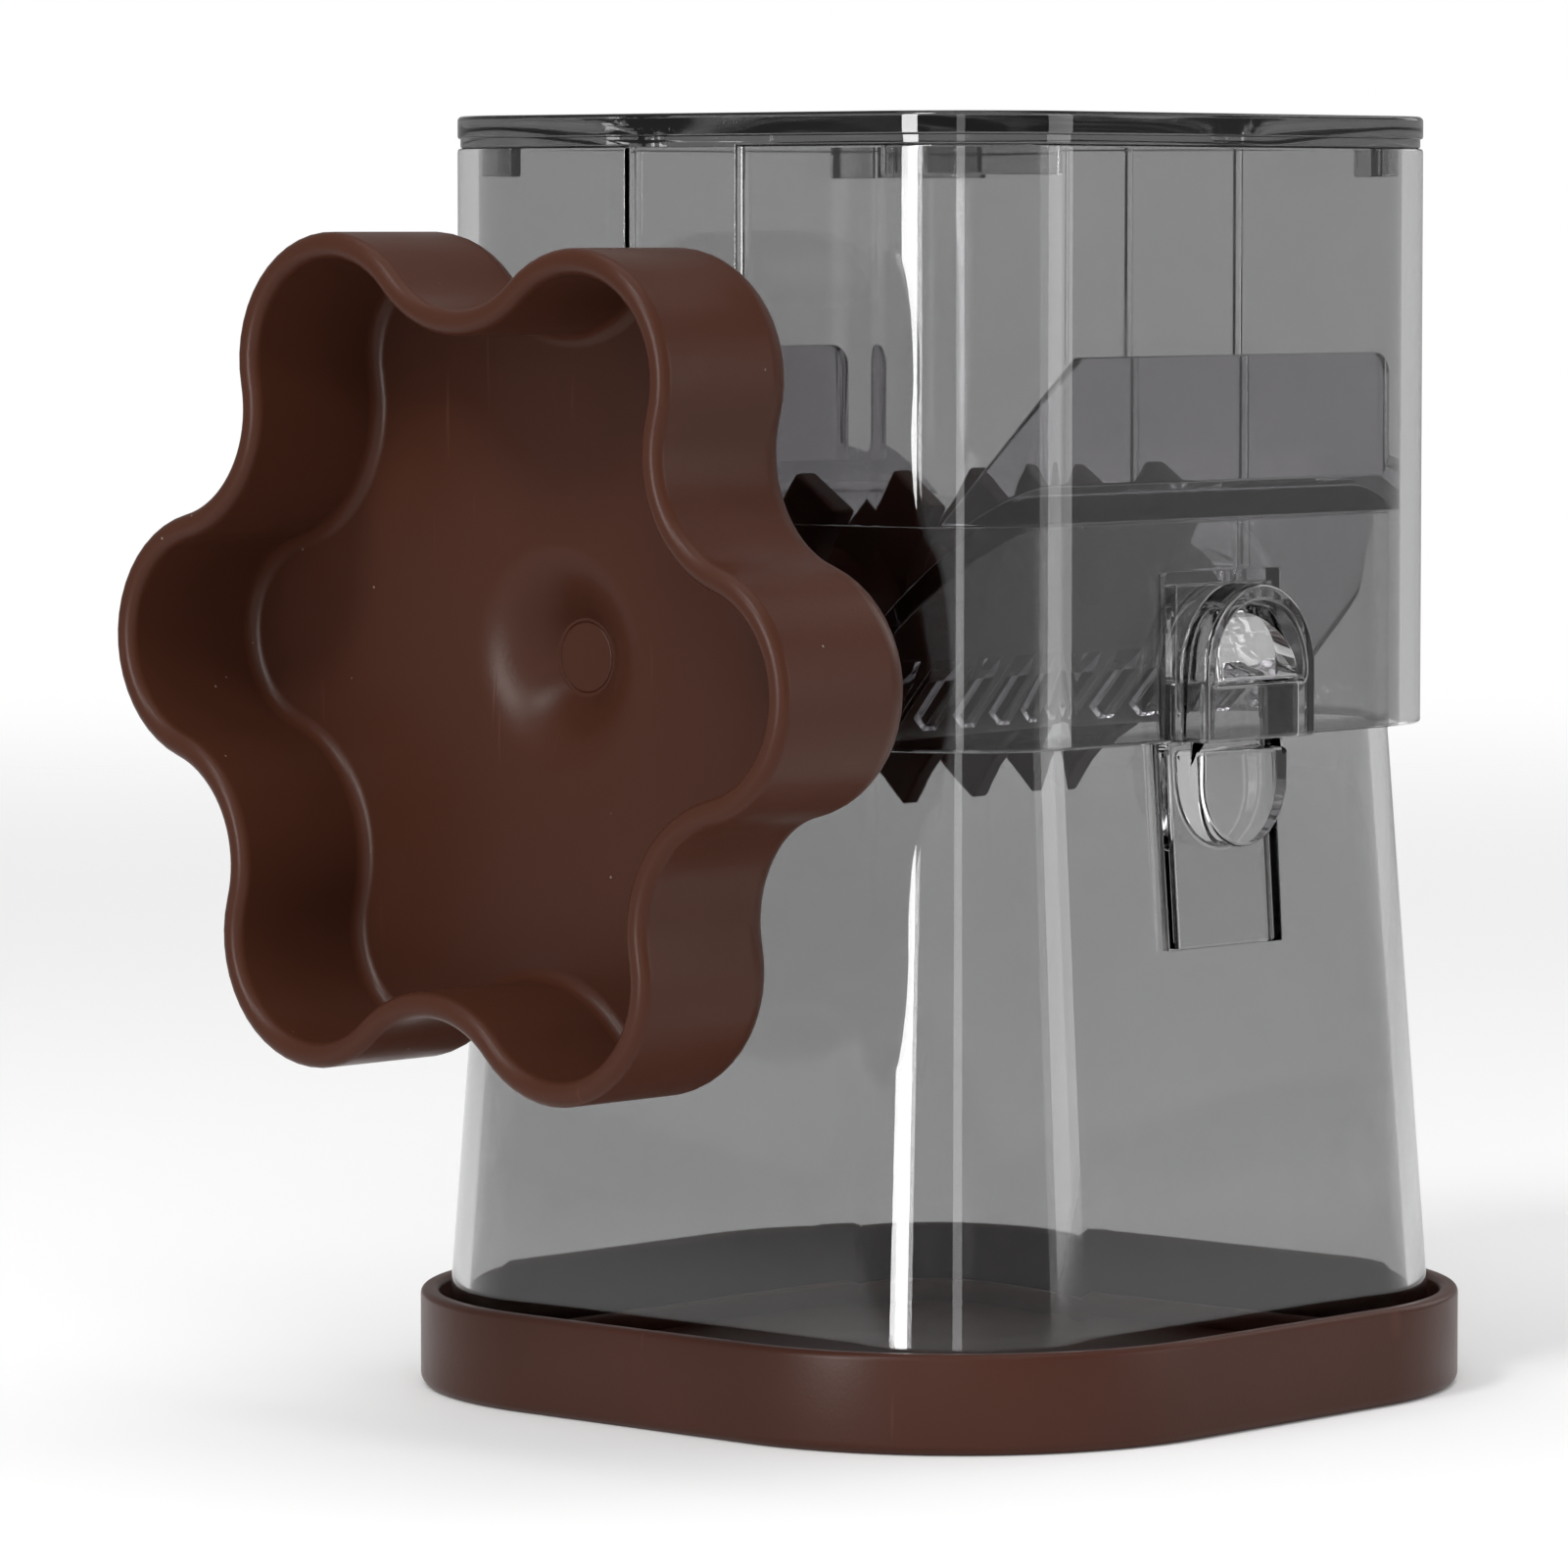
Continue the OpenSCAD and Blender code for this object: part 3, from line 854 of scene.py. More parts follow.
@dataclass
class Container:
    """Clear tapered container with a straight neck, open below.

    Attributes:
        foot, foot_corner, foot_z: half width, corner radius and height of the foot.
        neck, neck_corner: half width and corner radius of the neck.
        shoulder_z, neck_z: heights where the taper ends and where the neck ends.
        wall: thickness of the wall.
        window_half, window_high: half width and top of the windows that the arms stand in.
        edge: rounding of the edges.
    """

    foot: float = 42.77 * MM
    foot_corner: float = 18 * MM
    foot_z: float = 2 * MM
    neck: float = 37.8 * MM
    neck_corner: float = 14 * MM
    shoulder_z: float = 72.6 * MM
    neck_z: float = 93.2 * MM
    wall: float = 2 * MM
    window_half: float = 9.2 * MM
    window_high: float = 87.9 * MM
    edge: float = 0.3 * MM

    def _ring(self, inset: float, z: float) -> Ring:
        """The wall's outline at some height.

        Args:
            inset: how far it is drawn in.
            z: its height.

        Returns:
            The ring's points.
        """
        up = min(1.0, (z - self.foot_z) / (self.shoulder_z - self.foot_z))
        half = self.foot + (self.neck - self.foot) * up
        corner = self.foot_corner + (self.neck_corner - self.foot_corner) * up
        return ring(half - inset, corner - inset, z, CORNER_STEPS)

    def _window_cut(self) -> Solid:
        """Builds the solid that opens the latch arms' windows."""
        window = upright(self.window_half, WINDOW_LOW, self.window_high)
        return prism("window_cut", window, -2 * self.foot, 2 * self.foot, along_x)

    def build(self, finish: ClearFinish) -> None:
        """Builds and dresses the container.

        Args:
            finish: the container's plastic.
        """
        w, middle = self.wall, (self.foot_z + self.shoulder_z) / 2
        rings = [self._ring(0, z) for z in (self.foot_z, middle, self.shoulder_z, self.neck_z)]
        rings += [self._ring(w, z) for z in (self.neck_z, self.shoulder_z, middle, self.foot_z)]
        slot = slot_cut(2 * self.foot, self.neck_z + w)
        wall = carved(loft("container_wall", rings, closed=True), slot, self._window_cut())
        eased(wall, self.edge, spared=lambda p: abs(p.z - WINDOW_LOW) < self.edge)
        dress(wall, Body.HOUSING, Slot.CLEAR, finish.material(), "container")


@dataclass
class Hopper:
    """Clear square hopper with slots for the shaft and an arch for each latch.

    Attributes:
        wall, low: thickness of the wall and height of its lower edge.
        arch_half, arch_wall, arch_top, arch_out: half width, thickness, top and reach of an arch.
        bridge_top, bridge_wall: top and thickness of the bridge that the hook holds.
        edge, arch_edge: rounding of the wall's edges and of an arch's.
        arch_steps: pieces in an arch's round top.
    """

    wall: float = 2.2 * MM
    low: float = 70.6 * MM
    arch_half: float = 9 * MM
    arch_wall: float = 1.8 * MM
    arch_top: float = 86.7 * MM
    arch_out: float = 3.3 * MM
    bridge_top: float = 76.5 * MM
    bridge_wall: float = 1.3 * MM
    edge: float = 0.3 * MM
    arch_edge: float = 0.5 * MM
    arch_steps: int = 32

    def _arch_outline(self, half: float, low: float, top: float) -> list[Flat]:
        """A flat foot and a round top, in Y and Z."""
        return [(-half, low), (half, low)] + arc(0, top - half, half, 0, 180, self.arch_steps)

    def _shell(self) -> Solid:
        """Builds the wall with its slots and the openings behind the arches.

        Returns:
            The wall.
        """
        w, inside, far = self.wall, self.arch_half - self.arch_wall, 2 * HOPPER_HALF
        rings = [ring(HOPPER_HALF - inset, HOPPER_CORNER - inset, z, CORNER_STEPS)
                 for inset, z in ((0, self.low), (0, HOPPER_RIM), (w, HOPPER_RIM), (w, self.low))]
        window = self._arch_outline(inside, self.low - w, self.arch_top - self.arch_wall)
        return carved(loft("hopper_wall", rings, closed=True), slot_cut(far, HOPPER_RIM + w),
                      prism("window_cut", window, -far, far, along_x))

    def _arch(self, side: int) -> Solid:
        """Builds the arch with its bridge on one side.

        Args:
            side: 1 for +X or -1 for -X.

        Returns:
            The arch as a solid of its own.
        """
        start = side * (HOPPER_HALF - self.wall / 2)
        end = side * (HOPPER_HALF + self.arch_out)
        back = side * (HOPPER_HALF + self.arch_out - self.bridge_wall)
        over = side * self.wall
        inside, top = self.arch_half - self.arch_wall, self.arch_top - self.arch_wall
        room = upright(inside, self.low - self.wall, self.bridge_top)
        hole = self._arch_outline(inside, self.bridge_top, top)
        outside = self._arch_outline(self.arch_half, self.low, self.arch_top)
        arch = prism("arch", outside, start, end, along_x)
        carved(arch, prism("room", room, start - over, back, along_x),
               prism("hole", hole, start - over, end + over, along_x))
        return eased(arch, self.arch_edge, segments=4, angle=60)

    def build(self, finish: ClearFinish) -> None:
        """Builds and dresses the hopper.

        Args:
            finish: the hopper's plastic.
        """
        shell = self._shell()
        carved(shell, self._arch(1), self._arch(-1), how="UNION")
        eased(shell, self.edge, angle=50)
        dress(shell, Body.HOUSING, Slot.CLEAR, finish.material(), "hopper")


@dataclass
class Lid:
    """Flat clear lid with two tongues that close the slots, and a lug in each corner.

    Attributes:
        band, inset: height of the band under the plate, and how far it is set back.
        top: height of the lid's top.
        round_top: rounding along the top.
        edge: rounding of the other edges.
        tongue_half, tongue_low: half width and lower end of a tongue.
        tongue_in, tongue_out: distances of its inner and outer face from the middle.
        lug_at, lug_out, lug_wall, lug_low: a lug's middle in X and Y, its radius, thickness and lower end.
        edge_steps, top_steps, lug_steps: pieces in the arcs.
    """

    band: float = 1 * MM
    inset: float = 0.3 * MM
    top: float = 135 * MM
    round_top: float = 0.5 * MM
    edge: float = 0.25 * MM
    tongue_half: float = 7.55 * MM
    tongue_in: float = 38.5 * MM
    tongue_out: float = 40.4 * MM
    tongue_low: float = 87.5 * MM
    lug_out: float = 12.4 * MM
    lug_wall: float = 1.6 * MM
    lug_at: float = 25.7 * MM
    lug_low: float = 128.6 * MM
    edge_steps: int = 2
    top_steps: int = 5
    lug_steps: int = 16

    def _plate(self) -> Solid:
        """Builds the plate with the set-back band under it.

        Returns:
            The plate.
        """
        e, r, i, n = self.edge, self.round_top, self.inset, self.edge_steps
        under = HOPPER_RIM + self.band
        levels = arc(-i - e, HOPPER_RIM + e, e, -90, 0, n) + [(-i, under)]
        levels += arc(-e, under + e, e, -90, 0, n) + arc(-r, self.top - r, r, 0, 90, self.top_steps)
        return loft("lid_plate", [ring(HOPPER_HALF + x, HOPPER_CORNER + x, z, CORNER_STEPS)
                                  for x, z in levels])

    def _tongue(self, side: int) -> Solid:
        """Builds the tongue on one side.

        Args:
            side: 1 for the back or -1 for the knob's side.

        Returns:
            The tongue.
        """
        points = upright(self.tongue_half, self.tongue_low, HOPPER_RIM + self.band)
        tongue = prism("tongue", points, side * self.tongue_in, side * self.tongue_out, along_y)
        return eased(tongue, self.edge, segments=3)

    def _lug(self, x: int, y: int) -> Solid:
        """Builds the lug in one corner.

        Args:
            x, y: 1 or -1 each, the corner that they point at.

        Returns:
            The lug.
        """
        start = {(1, 1): 0, (-1, 1): 90, (-1, -1): 180, (1, -1): 270}[(x, y)]
        cx, cy = x * self.lug_at, y * self.lug_at
        points = arc(cx, cy, self.lug_out, start, start + 90, self.lug_steps)
        points += arc(cx, cy, self.lug_out - self.lug_wall, start + 90, start, self.lug_steps)
        rings = [[Vector((u, v, z)) for u, v in points] for z in (self.lug_low, HOPPER_RIM + self.band)]
        return eased(loft("lug", rings), self.edge, segments=3)

    def build(self, material: Material) -> None:
        """Builds and dresses the lid.

        Args:
            material: the lid's plastic.
        """
        corners = [(x, y) for x in (1, -1) for y in (1, -1)]
        plate = carved(self._plate(), self._tongue(1), self._tongue(-1),
                       *(self._lug(x, y) for x, y in corners), how="UNION")
        dress(evened(plate), Body.LID, Slot.LID, material, "lid")


@dataclass
class ClearPart:
    """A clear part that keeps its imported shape, with its edges eased.

    Attributes:
        node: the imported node.
        name: the piece's name.
        body: the body that it rides on.
        edge: width of the rounding.
        segments: steps in the rounding.
        sharp_z: height at which the edges stay sharp, as at an arm's bending end.
    """

    node: str
    name: str
    body: Body
    edge: float
    segments: int = 3
    sharp_z: Optional[float] = None

    def _spared(self, place: Vector) -> bool:
        """Says whether an edge there stays sharp."""
        return self.sharp_z is not None and abs(place.z - self.sharp_z) < self.edge

    def build(self, material: Material) -> None:
        """Builds and dresses the part."""
        part = eased(cad_copy(self.node, self.name), self.edge, self.segments, spared=self._spared)
        dress(part, self.body, Slot.CLEAR, material, self.node)


@dataclass
class Rotor:
    """Brown core with two opposite rows of block teeth.

    Attributes:
        core_r, core_half: radius and half the length of the core.
        reach: distance of a tooth's tip from the shaft's line.
        land, thick: width of a tooth's tip, and its thickness along the shaft.
        pitch, teeth: distance between the teeth of a row, and their number.
        turn: how far the rows are turned from the upright.
        edge, edge_steps: rounding of the edges.
        shift_share: how far each row is shifted along the shaft, as a share of the pitch.
        up_shares: heights on a tooth's side, from 0 on the core to 1 at the tip.
        side_shares: half the width at those heights, as a share of the tip's.
    """

    core_r: float = 10.5 * MM
    core_half: float = 34.3 * MM
    reach: float = 20 * MM
    land: float = 7 * MM
    thick: float = 3 * MM
    pitch: float = 13.2 * MM
    teeth: int = 5
    turn: float = radians(34)
    edge: float = 0.5 * MM
    edge_steps: int = 3
    shift_share: float = 0.25
    up_shares: tuple[float, ...] = (0, 0.3, 0.62, 1)
    side_shares: tuple[float, ...] = (1.7, 1.25, 1.05, 1)

    def _tooth(self) -> Solid:
        """Builds one tooth, standing on the core along +Z at the shaft.

        Returns:
            The tooth.
        """
        root = self.core_r * cos(self.turn)
        levels = [(self.land / 2 * side, root + (self.reach - root) * up)
                  for up, side in zip(self.up_shares, self.side_shares)]
        points = levels + [(-x, z) for x, z in reversed(levels)]
        tooth = prism("tooth", points, -self.thick / 2, self.thick / 2, along_y)
        return eased(tooth, self.edge, self.edge_steps)

    def _rows(self) -> bpy.types.GeometryNodeTree:
        """Builds the node tree that sets out two opposite rows of teeth, half a pitch apart.

        Returns:
            The node tree, with the tooth, its count, pitch, turn and height as inputs.
        """
        group = bpy.data.node_groups.new("tooth_rows", "GeometryNodeTree")
        kinds = {"Tooth": "Geometry", "Count": "Int", "Pitch": "Float", "Turn": "Float",
                 "Height": "Float", "Finish": "Material"}
        for name, kind in kinds.items():
            group.interface.new_socket(name, in_out="INPUT", socket_type="NodeSocket" + kind)
        group.interface.new_socket("Rows", in_out="OUTPUT", socket_type="NodeSocketGeometry")
        tree = Tree(group)
        given = tree.node("NodeGroupInput").outputs
        count, pitch, turn = (Field(tree, given[name]) for name in ("Count", "Pitch", "Turn"))
        join = tree.node("GeometryNodeJoinGeometry")
        for shift, half_turn in ((-self.shift_share, 0.0), (self.shift_share, pi)):
            start = tree.vector(Y=pitch * shift - pitch * (count - 1) * 0.5, Z=given["Height"])
            line = tree.node("GeometryNodeMeshLine", inputs={
                "Count": count, "Start Location": start, "Offset": tree.vector(Y=pitch)})
            angle = tree.node("FunctionNodeEulerToRotation", inputs={0: tree.vector(Y=turn + half_turn)})
            copies = tree.node("GeometryNodeInstanceOnPoints", inputs={
                "Points": line.outputs[0], "Instance": given["Tooth"], "Rotation": angle.outputs[0]})
            tree.feed(join.inputs[0], copies.outputs[0])
        real = tree.node("GeometryNodeRealizeInstances", inputs={0: join.outputs[0]})
        finish = tree.node("GeometryNodeSetMaterial", inputs={
            "Geometry": real.outputs[0], "Material": given["Finish"]})
        tree.node("NodeGroupOutput", inputs={0: finish.outputs[0]})
        return group

    def teeth_piece(self, material: Material) -> Solid:
        """Sets out the teeth and turns them into one mesh.

        Args:
            material: the rotor's plastic.

        Returns:
            Both rows of teeth as one mesh.
        """
        piece = self._tooth()
        piece.name = "rotor_teeth"
        rows = piece.modifiers.new("rows", "NODES")
        rows.node_group = self._rows()
        values = {"Count": self.teeth, "Pitch": self.pitch, "Turn": self.turn,
                  "Height": SHAFT_Z, "Finish": material}
        for item in rows.node_group.interface.items_tree:
            if item.name in values:
                rows[item.identifier] = values[item.name]
        return settled(piece)

    def core_piece(self) -> Solid:
        """Builds the core as a turned solid with a bore.

        Returns:
            The core.
        """
        e, half = self.edge, self.core_half
        profile = [(SHAFT_R, half)] + arc(self.core_r - e, half - e, e, 90, 0, self.edge_steps)
        profile += [(r, -along) for r, along in reversed(profile)]
        return turned("rotor_core", profile, closed=True)

    def build(self, finish: BrownFinish) -> None:
        """Builds and dresses the rotor.

        Args:
            finish: the rotor's plastic.
        """
        material = finish.material()
        dress(self.core_piece(), Body.DRIVE, Slot.ROTOR, material, "rotor")
        dress(self.teeth_piece(material), Body.DRIVE, Slot.ROTOR, material)


@dataclass
class Shaft:
    """Shaft, whose nose shows as a disc in the knob's dimple.

    Attributes:
        tail: distance of the rear end behind the middle.
        step, nose: distances in front of it where the shaft gets thinner and where it ends.
        edge, edge_steps: rounding of the ends.
    """

    tail: float = 43 * MM
    step: float = 48.4 * MM
    nose: float = 54.7 * MM
    edge: float = 0.4 * MM
    edge_steps: int = 3

    def build(self, finish: BrownFinish) -> None:
        """Builds and dresses the shaft.

        Args:
            finish: the shaft's plastic.
        """
        e, n = self.edge, self.edge_steps
        profile = [(r, -self.tail + e - z) for r, z in arc(SHAFT_R - e, 0, e, 90, 0, n)]
        profile += [(SHAFT_R, self.step), (NOSE_R, self.step)]
        profile += [(r, self.nose - e / 2 + z) for r, z in arc(NOSE_R - e / 2, 0, e / 2, 0, 90, n)]
        dress(turned("shaft_rod", profile), Body.DRIVE, Slot.ROTOR, finish.material(), "shaft")


@dataclass
class Knob:
    """Six lobed cup with a hub behind it and a trumpet shaped dimple in its floor.

    Distances towards the knob are counted from the part's middle.

    Attributes:
        lobes, reach: number of lobes, and how far their tips are from the shaft's line.
        hollow_depth: how far the outline falls in between two lobes.
        lobe_r: radius of a lobe.
        back, front: distances of the cup's back and of its rim.
        wall, floor: thickness of the cup's wall and floor.
        back_round, cup_round, rim_round: rounding at the back, round the floor and of the rim.
        hub_start, hub_r, hub_flare: where the hub starts, its radius and the flare where it meets the cup.
        dimple_r, dimple_depth: radius and depth of the dimple.
        seat_r: radius at the dimple's bottom.
        edge: rounding of the edges that are left.
        turn: how far the knob is turned.
        arc_steps, back_steps, rim_steps, cup_steps, flare_steps: pieces in the arcs.
        flat_steps, dimple_steps: rings over the flat floor and the dimple.
        outline_arcs: distance, angle, radius and half span of each arc of the outline, worked out.
    """

    lobes: int = 6
    reach: float = 47 * MM
    hollow_depth: float = 11.5 * MM
    lobe_r: float = 13 * MM
    back: float = 56.4 * MM
    front: float = 76.5 * MM
    wall: float = 2.6 * MM
    floor: float = 2.5 * MM
    back_round: float = 4.5 * MM
    cup_round: float = 1.5 * MM
    rim_round: float = 1.2 * MM
    hub_start: float = 42.1 * MM
    hub_r: float = 7.6 * MM
    hub_flare: float = 4 * MM
    dimple_r: float = 12 * MM
    dimple_depth: float = 4.2 * MM
    seat_r: float = 4 * MM
    edge: float = 0.12 * MM
    turn: float = radians(2.6)
    arc_steps: int = 20
    back_steps: int = 10
    rim_steps: int = 7
    cup_steps: int = 6
    flat_steps: int = 8
    flare_steps: int = 8
    dimple_steps: int = 14
    outline_arcs: list[tuple[float, float, float, float]] = field(default_factory=list)

    def __post_init__(self) -> None:
        """Works out the arcs of the outline, so that each lobe runs smoothly into the hollows beside it."""
        step = pi / self.lobes
        lobe_at = self.reach - self.lobe_r
        low = self.reach - self.hollow_depth
        hollow_r = (lobe_at**2 + low**2 - 2 * lobe_at * low * cos(step) - self.lobe_r**2) / (
            2 * (lobe_at * cos(step) + self.lobe_r - low))
        hollow_at = low + hollow_r
        span = atan2(hollow_at * sin(step), hollow_at * cos(step) - lobe_at)
        for k in range(self.lobes):
            self.outline_arcs.append((lobe_at, 2 * k * step, self.lobe_r, span))
            self.outline_arcs.append((hollow_at, (2 * k + 1) * step, -hollow_r, span - step))

    def _lobed(self, inset: float) -> list[Flat]:
        """Points of the lobed outline.

        Args:
            inset: how far it is drawn in.

        Returns:
            The points, in the knob's own plane.
        """
        points = []
        for distance, angle, radius, span in self.outline_arcs:
            r = abs(radius - inset)
            for i in range(self.arc_steps):
                u = 2 * i / self.arc_steps - 1
                t = angle + u * span if radius > 0 else angle + pi - u * span
                points.append((distance * cos(angle) + r * cos(t),
                               distance * sin(angle) + r * sin(t)))
        return points

    def _ring(self, points: Sequence[Flat], along: float) -> Ring:
        """Lays points of the knob's plane out, at a distance towards the knob's front."""
        c, s = cos(-self.turn), sin(-self.turn)
        return [Vector((u * c - v * s, -along, SHAFT_Z + u * s + v * c)) for u, v in points]

    def _circle(self, r: float) -> list[Flat]:
        """A circle whose points lie on the same rays as the lobed outline's."""
        return [(r * u / hypot(u, v), r * v / hypot(u, v)) for u, v in self._lobed(0)]

    def _flat(self, inset: float, r: float, along: float) -> list[Ring]:
        """Flat rings from the lobed outline in to a circle, both left out.

        Args:
            inset: how far the lobed outline is drawn in.
            r: radius of the circle.
            along: distance of the flat towards the knob's front.

        Returns:
            The rings, from outside in.
        """
        outer, inner = self._lobed(inset), self._circle(r)
        rings = []
        for k in range(1, self.flat_steps):
            t = k / self.flat_steps
            points = [(a[0] + (b[0] - a[0]) * t, a[1] + (b[1] - a[1]) * t) for a, b in zip(outer, inner)]
            rings.append(self._ring(points, along))
        return rings

    def _cup(self) -> list[Ring]:
        """Rings up the outside, over the rim and down inside to the floor.

        Returns:
            The rings, from the cup's back.
        """
        b, c, floor_at = self.back_round, self.cup_round, self.back + self.floor
        levels = arc(-b, self.back + b, b, -90, 0, self.back_steps)
        levels += rim(self.front, self.wall, self.rim_round, self.rim_steps)
        levels += arc(-self.wall - c, floor_at + c, c, 0, -90, self.cup_steps)
        return [self._ring(self._lobed(-x), along) for x, along in levels]

    def _dimple(self, floor_at: float) -> list[Ring]:
        """Rings down the trumpet shaped dimple, from the cup's floor to the shaft's nose.

        Args:
            floor_at: distance of the cup's floor.

        Returns:
            The rings, from outside in.
        """
        rings = []
        for k in range(self.dimple_steps + 1):
            u = 1 - k / self.dimple_steps
            r = self.seat_r + (self.dimple_r - self.seat_r) * u
            rings.append(self._ring(self._circle(r), floor_at - self.dimple_depth * (1 - u) ** 2))
        return rings

    def build(self, finish: BrownFinish) -> None:
        """Builds and dresses the knob.

        Args:
            finish: the knob's plastic.
        """
        floor_at = self.back + self.floor
        dimple_at = floor_at - self.dimple_depth
        bore_end = (self.hub_start + dimple_at) / 2
        hub, flare, start = self.hub_r, self.hub_flare, self.hub_start
        bore = [(NOSE_R, dimple_at), (NOSE_R, bore_end), (SHAFT_R, bore_end), (SHAFT_R, start)]
        bore += [(hub, start)] + arc(hub + flare, self.back - flare, flare, 180, 90, self.flare_steps)
        rings = self._cup() + self._flat(self.wall + self.cup_round, self.dimple_r, floor_at)
        rings += self._dimple(floor_at)
        rings += [self._ring(self._circle(r), along) for r, along in bore]
        rings += reversed(self._flat(self.back_round, hub + flare, self.back))
        knob = eased(loft("knob_cup", rings, closed=True), self.edge, segments=1, angle=50)
        dress(knob, Body.DRIVE, Slot.KNOB, finish.material(), "knob")


def toward(azimuth: float, elevation: float) -> Vector:
    """The unit vector at an azimuth from -Y round towards +X and an elevation, in degrees."""
    a, e = radians(azimuth), radians(elevation)
    return Vector((sin(a) * cos(e), -cos(a) * cos(e), sin(e)))


@dataclass(frozen=True)
class Lamp:
    """A softbox that faces the object.

    Attributes:
        name: the lamp's name.
        azimuth, elevation: degrees round from -Y towards +X, and above the horizon.
        distance: metres from the object's middle.
        size: width and height in metres.
        power: watts.
        diffuse: False keeps it to gloss and reflections.
        gloss: False keeps it out of them.
        middle: height of the object's middle.
    """

    name: str
    azimuth: float
    elevation: float
    distance: float
    size: Flat
    power: float
    diffuse: bool = True
    gloss: bool = True
    middle: float = 0.07

    def build(self) -> None:
        """Hangs the lamp."""
        back = toward(self.azimuth, self.elevation)
        data = bpy.data.lights.new(self.name, "AREA")
        data.shape = "RECTANGLE"
        data.size, data.size_y = self.size
        data.energy = self.power
        lamp = added(self.name, data)
        place = Matrix.Translation(Vector((0, 0, self.middle)) + back * self.distance)
        lamp.matrix_world = place @ back.to_track_quat("Z", "Y").to_matrix().to_4x4()
        lamp.visible_camera = False
        lamp.visible_diffuse = self.diffuse
        lamp.visible_glossy = self.gloss


# The strip draws the bright line on the front corner, and the band the light stripe beside it
LAMPS = (
    Lamp("strip", azimuth=-1, elevation=8, distance=1.0, size=(0.22, 0.70), power=10.0, diffuse=False),
    Lamp("band", azimuth=120, elevation=8, distance=1.2, size=(0.52, 0.80), power=4.0, diffuse=False),
    Lamp("corner_strip", azimuth=38, elevation=8, distance=1.1, size=(0.12, 0.6), power=0.6, diffuse=False),
    Lamp("fill", azimuth=44, elevation=26, distance=1.2, size=(0.45, 0.80), power=3.4, gloss=False),
    Lamp("front", azimuth=4, elevation=44, distance=1.3, size=(0.30, 0.30), power=6.0),
    Lamp("top", azimuth=30, elevation=84, distance=1.5, size=(1.4, 1.4), power=10.0),
    Lamp("back", azimuth=175, elevation=25, distance=1.6, size=(0.7, 0.9), power=3.0),
)


@dataclass
class Studio:
    """Pale floor, soft lights and the camera at the photograph's angle.

    Attributes:
        azimuth, elevation: direction of the camera in degrees, as for a lamp.
        away, side, rise: its place, backwards, to its right and upwards.
        focal_px, image_px: focal length and width of the picture in pixels.
        sensor_mm: width of the sensor in millimetres.
        near, far: nearest and farthest distance that shows.
        floor_r, floor_steps: radius of the floor, and pieces round it.
        floor_colour, floor_rough, floor_shine, floor_glow: its colour, gloss and own light.
        fade: distances between which the floor fades into the air.
        air, air_light: strength of the air as it shows, and as it lights the object.
        bounces, clear_bounces: most bounces of light, and most passes through what is transparent.
    """

    azimuth: float = 42.3
    elevation: float = 4.0
    away: float = 862.5 * MM
    side: float = -16.7 * MM
    rise: float = 63.8 * MM
    focal_px: float = 8200
    image_px: float = 1601
    sensor_mm: float = 36.0
    near: float = 0.01
    far: float = 100
    floor_r: float = 12.0
    floor_steps: int = 96
    floor_colour: tuple[float, ...] = (0.93, 0.93, 0.93, 1)
    floor_rough: float = 0.7
    floor_shine: float = 0.1
    floor_glow: float = 0.09
    fade: Flat = (0.35, 1.3)
    air: float = 1.0
    air_light: float = 0.36
    bounces: int = 32
    clear_bounces: int = 16

    def camera(self) -> None:
        """Sets the camera."""
        back, right = toward(self.azimuth, self.elevation), toward(self.azimuth + 90, 0)
        up = back.cross(right)
        data = bpy.data.cameras.new("camera")
        data.sensor_width = self.sensor_mm
        data.lens = self.focal_px / self.image_px * self.sensor_mm
        data.clip_start, data.clip_end = self.near, self.far
        camera = added("camera", data)
        place = back * self.away + right * self.side + up * self.rise
        camera.matrix_world = Matrix.Translation(place) @ Matrix((right, up, back)).transposed().to_4x4()
        bpy.context.scene.camera = camera

    def world(self) -> None:
        """Fills the air with white, which gives less light than it shows, as a far backdrop does."""
        world = bpy.data.worlds.new("air")
        world.use_nodes = True
        air = Tree(world.node_tree)
        path = air.node("ShaderNodeLightPath").outputs
        rays = {0: path["Is Camera Ray"], 1: path["Is Transmission Ray"]}
        seen = air.node("ShaderNodeMath", {"operation": "MAXIMUM"}, rays).outputs[0]
        limits = {"Value": seen, "To Min": self.air_light, "To Max": self.air}
        ground = world.node_tree.nodes["Background"].inputs
        air.feed(ground["Color"], WHITE)
        air.feed(ground["Strength"], air.node("ShaderNodeMapRange", inputs=limits).outputs[0])
        bpy.context.scene.world = world

    def floor(self) -> None:
        """Lays a pale floor that fades into the air far off."""
        bm = bmesh.new()
        bmesh.ops.create_circle(bm, cap_ends=True, segments=self.floor_steps, radius=self.floor_r)
        floor = placed("floor", bm)
        s = Shader("pale_floor")
        away = s.node("ShaderNodeVectorMath", {"operation": "LENGTH"}, {0: s.place}).outputs["Value"]
        s.set(
            Base_Color=self.floor_colour,
            Roughness=self.floor_rough,
            Alpha=1 - Field(s, away).ramp(*self.fade),
            Emission_Color=WHITE,
            Emission_Strength=self.floor_glow,
            Specular_IOR_Level=self.floor_shine,
        )
        floor.data.materials.append(s.material)

    def build(self) -> None:
        """Sets up the whole studio."""
        self.camera()
        self.world()
        self.floor()
        for lamp in LAMPS:
            lamp.build()
        scene = bpy.context.scene
        scene.view_settings.view_transform = "Standard"
        scene.cycles.max_bounces = self.bounces
        scene.cycles.transmission_bounces = self.bounces
        scene.cycles.transparent_max_bounces = self.clear_bounces


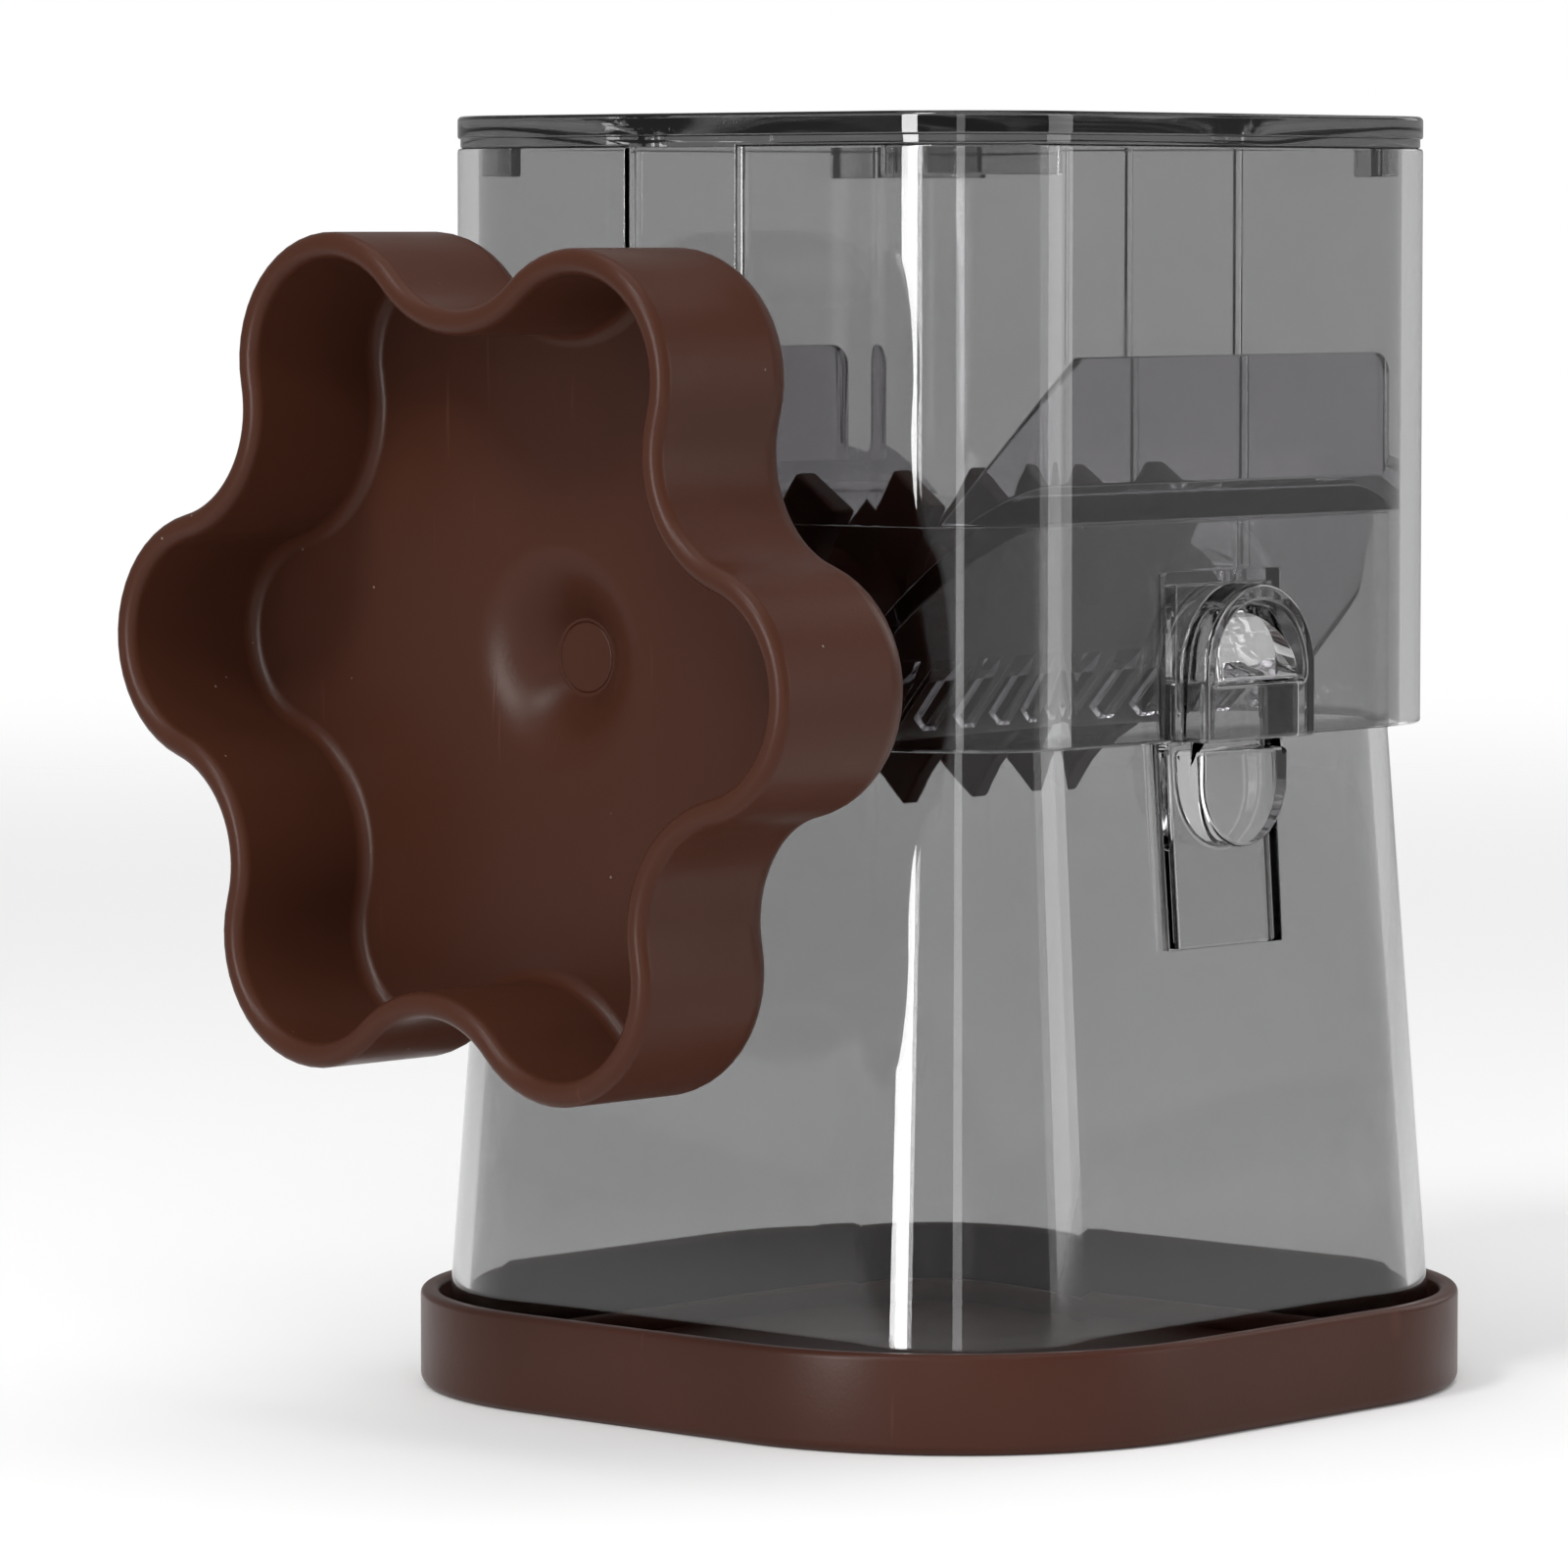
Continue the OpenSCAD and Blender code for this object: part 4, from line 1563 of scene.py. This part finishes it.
# Finishes
SMOKE = (0.47, 0.47, 0.472)
TRAY_BROWN = BrownFinish("tray_brown_plastic", colour=(0.064, 0.0240, 0.0160))
KNOB_BROWN = BrownFinish("knob_brown_plastic", colour=(0.062, 0.0210, 0.0118))
ROTOR_BROWN = BrownFinish("rotor_brown_plastic", colour=(0.036, 0.013, 0.010))
CONTAINER_CLEAR = ClearFinish("container_clear", tint=(0.52, 0.52, 0.522), inner_z=INSIDE_Z)
HOPPER_CLEAR = ClearFinish("hopper_clear", tint=SMOKE)
CHUTE_CLEAR = ClearFinish("chute_clear", tint=(0.57, 0.55, 0.58))
ARM_CLEAR = ClearFinish("arm_clear", tint=SMOKE, inner_tint=(0.9, 0.9, 0.9), inner_z=INSIDE_Z)
BUSH_CLEAR = ClearFinish("bush_clear", tint=(0.85, 0.85, 0.85))
# The lid's upright faces above the rim get painted shade, a dark colour for the dark band along a clear
# plate's edge
LID_CLEAR = ClearFinish("lid_clear", tint=SMOKE, painted_edge_shade=(0.10, 0.10, 0.10), edge_z=131.5 * MM)


def clear_parts(edge: float = 0.2 * MM, arm_edge: float = 0.5 * MM) -> None:
    """Dresses the chutes, the latch arms and the bushes.

    Args:
        edge: width of the rounding on the chutes and the bushes.
        arm_edge: the same on the latch arms.
    """
    chute, arm, bush = CHUTE_CLEAR.material(), ARM_CLEAR.material(), BUSH_CLEAR.material()
    for side in ("right", "left"):
        ClearPart(f"chute_{side}", f"chute_plate_{side}", Body.HOUSING, edge).build(chute)
    for side, body in (("right", Body.LATCH_RIGHT), ("left", Body.LATCH_LEFT)):
        foot = WINDOW_LOW + ARM_GAP
        ClearPart(f"latch_arm_{side}", f"latch_{side}_arm", body, arm_edge, sharp_z=foot).build(arm)
    for end in ("front", "rear"):
        ClearPart(f"{end}_bush", f"bush_{end}", Body.HOUSING, edge).build(bush)


def main() -> None:
    """Builds the studio and every sub-assembly in order."""
    logging.basicConfig(level=logging.INFO, format="%(name)s: %(message)s")
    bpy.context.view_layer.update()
    Studio().build()
    Tray().build(TRAY_BROWN)
    Container().build(CONTAINER_CLEAR)
    Hopper().build(HOPPER_CLEAR)
    Lid().build(LID_CLEAR.material())
    clear_parts()
    Rotor().build(ROTOR_BROWN)
    Shaft().build(KNOB_BROWN)
    Knob().build(KNOB_BROWN)


if __name__ == "__main__":
    main()
